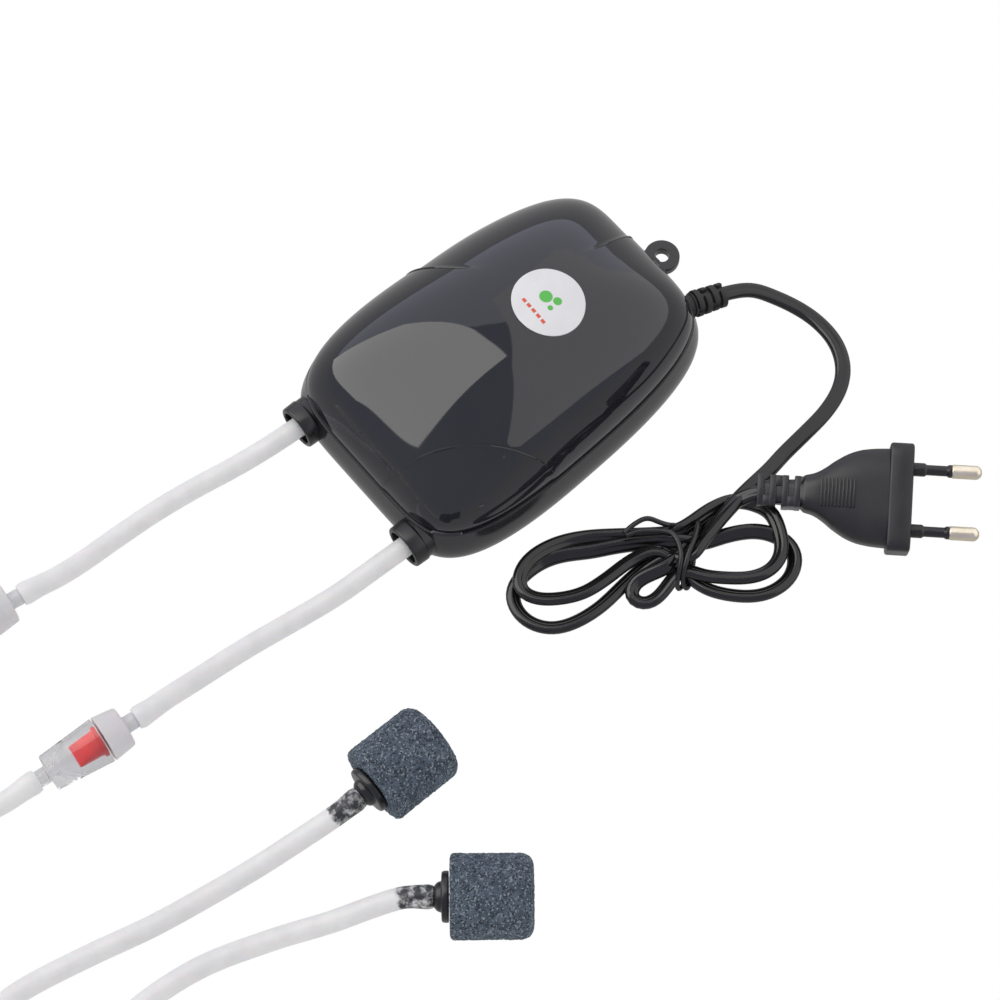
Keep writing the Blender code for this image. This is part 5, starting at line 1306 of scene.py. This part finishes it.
# ---------------------------------------------------------------- camera, floor and light
AZIMUTH, ELEVATION = math.radians(50.0), math.radians(66.0)
DISTANCE, HALF_VIEW = 0.816, math.radians(10.0)
SENSOR = 36.0
TARGET = row((27.0, -24.8, 0.0))
camera = bpy.data.objects.new("camera", bpy.data.cameras.new("camera"))
bpy.context.scene.collection.objects.link(camera)
back = Vector((math.sin(AZIMUTH) * math.cos(ELEVATION), -math.cos(AZIMUTH) * math.cos(ELEVATION),
               math.sin(ELEVATION)))
camera.location = TARGET + back * DISTANCE
camera.rotation_euler = (-back).to_track_quat("-Z", "Y").to_euler()
camera.data.lens = SENSOR / 2 / math.tan(HALF_VIEW)
camera.data.sensor_width = SENSOR
camera.data.clip_start, camera.data.clip_end = 0.01, 50.0
bpy.context.scene.camera = camera
bpy.context.scene.view_settings.view_transform = "Standard"


def glow(name, colour, strength, mirrored):
    """A light's surface: its strength, and the strength that glossy surfaces show of it."""
    made = bpy.data.materials.new(name)
    made.use_nodes = True
    tree = made.node_tree
    tree.nodes.clear()
    lamp = tree.nodes.new("ShaderNodeEmission")
    lamp.inputs["Color"].default_value = (*colour, 1)
    path = tree.nodes.new("ShaderNodeLightPath")
    level = spread(tree, path.outputs["Is Glossy Ray"], 0.0, 1.0, strength, mirrored)
    tree.links.new(level, lamp.inputs["Strength"])
    out = tree.nodes.new("ShaderNodeOutputMaterial")
    tree.links.new(lamp.outputs[0], out.inputs["Surface"])
    return made


def card(name, corners, surface, seen=False):
    """A flat glowing panel of the studio."""
    mesh = bpy.data.meshes.new(name)
    mesh.from_pydata(corners, [], [tuple(range(len(corners)))])
    obj = bpy.data.objects.new(name, mesh)
    bpy.context.scene.collection.objects.link(obj)
    mesh.materials.append(surface)
    obj.visible_camera = seen
    return obj


def towards(azimuth, elevation, distance):
    """A point in metres seen from the origin in a direction given in degrees."""
    a, e = math.radians(azimuth), math.radians(elevation)
    flat = distance * math.cos(e)
    return (flat * math.cos(a), flat * math.sin(a), distance * math.sin(e))


card("floor", [(-6, -6, 0), (6, -6, 0), (6, 6, 0), (-6, 6, 0)],
     glow("floor_white", (1.0, 1.0, 1.0), 1.0, 0.55), seen=True)
card("key_softbox", [towards(-157, 2, 1.3), towards(-114, 14, 1.3), towards(-106, 28, 1.3),
                     towards(60, 80, 1.1), towards(-175, 33, 1.3)],
     glow("softbox", (1.0, 0.99, 0.97), 1.6, 3.1))
card("side_reflector", [(-0.75, 0.42, 1.2), (0.3, 0.2, 1.2), (3.4, 0.1, 1.25), (3.4, 2.6, 0.02),
                        (-0.9, 2.6, 0.02)],
     glow("reflector", (1.0, 0.97, 0.99), 0.8, 1.35))
card("back_reflector", [towards(104, 2, 2.0), towards(150, 2, 2.0), towards(200, 3, 2.0),
                        towards(196, 46, 2.0), towards(165, 67, 2.0), towards(130, 66, 2.0)],
     glow("back_panel", (0.86, 0.87, 1.0), 0.8, 1.35))

world = bpy.data.worlds.new("studio")
bpy.context.scene.world = world
world.use_nodes = True
world_tree = world.node_tree
world_tree.nodes.clear()
rays = world_tree.nodes.new("ShaderNodeLightPath")
open_sky = world_tree.nodes.new("ShaderNodeBackground")
open_sky.inputs["Color"].default_value = (1.0, 1.0, 1.0, 1.0)
level = spread(world_tree, rays.outputs["Is Camera Ray"], 0.0, 1.0, 0.75, 1.0)
world_tree.links.new(level, open_sky.inputs["Strength"])
dim_sky = world_tree.nodes.new("ShaderNodeBackground")
dim_sky.inputs["Color"].default_value = (0.80, 0.80, 1.0, 1.0)
dim_sky.inputs["Strength"].default_value = 0.62
blend_sky = world_tree.nodes.new("ShaderNodeMixShader")
world_out = world_tree.nodes.new("ShaderNodeOutputWorld")
world_tree.links.new(rays.outputs["Is Glossy Ray"], blend_sky.inputs[0])
world_tree.links.new(open_sky.outputs[0], blend_sky.inputs[1])
world_tree.links.new(dim_sky.outputs[0], blend_sky.inputs[2])
world_tree.links.new(blend_sky.outputs[0], world_out.inputs["Surface"])
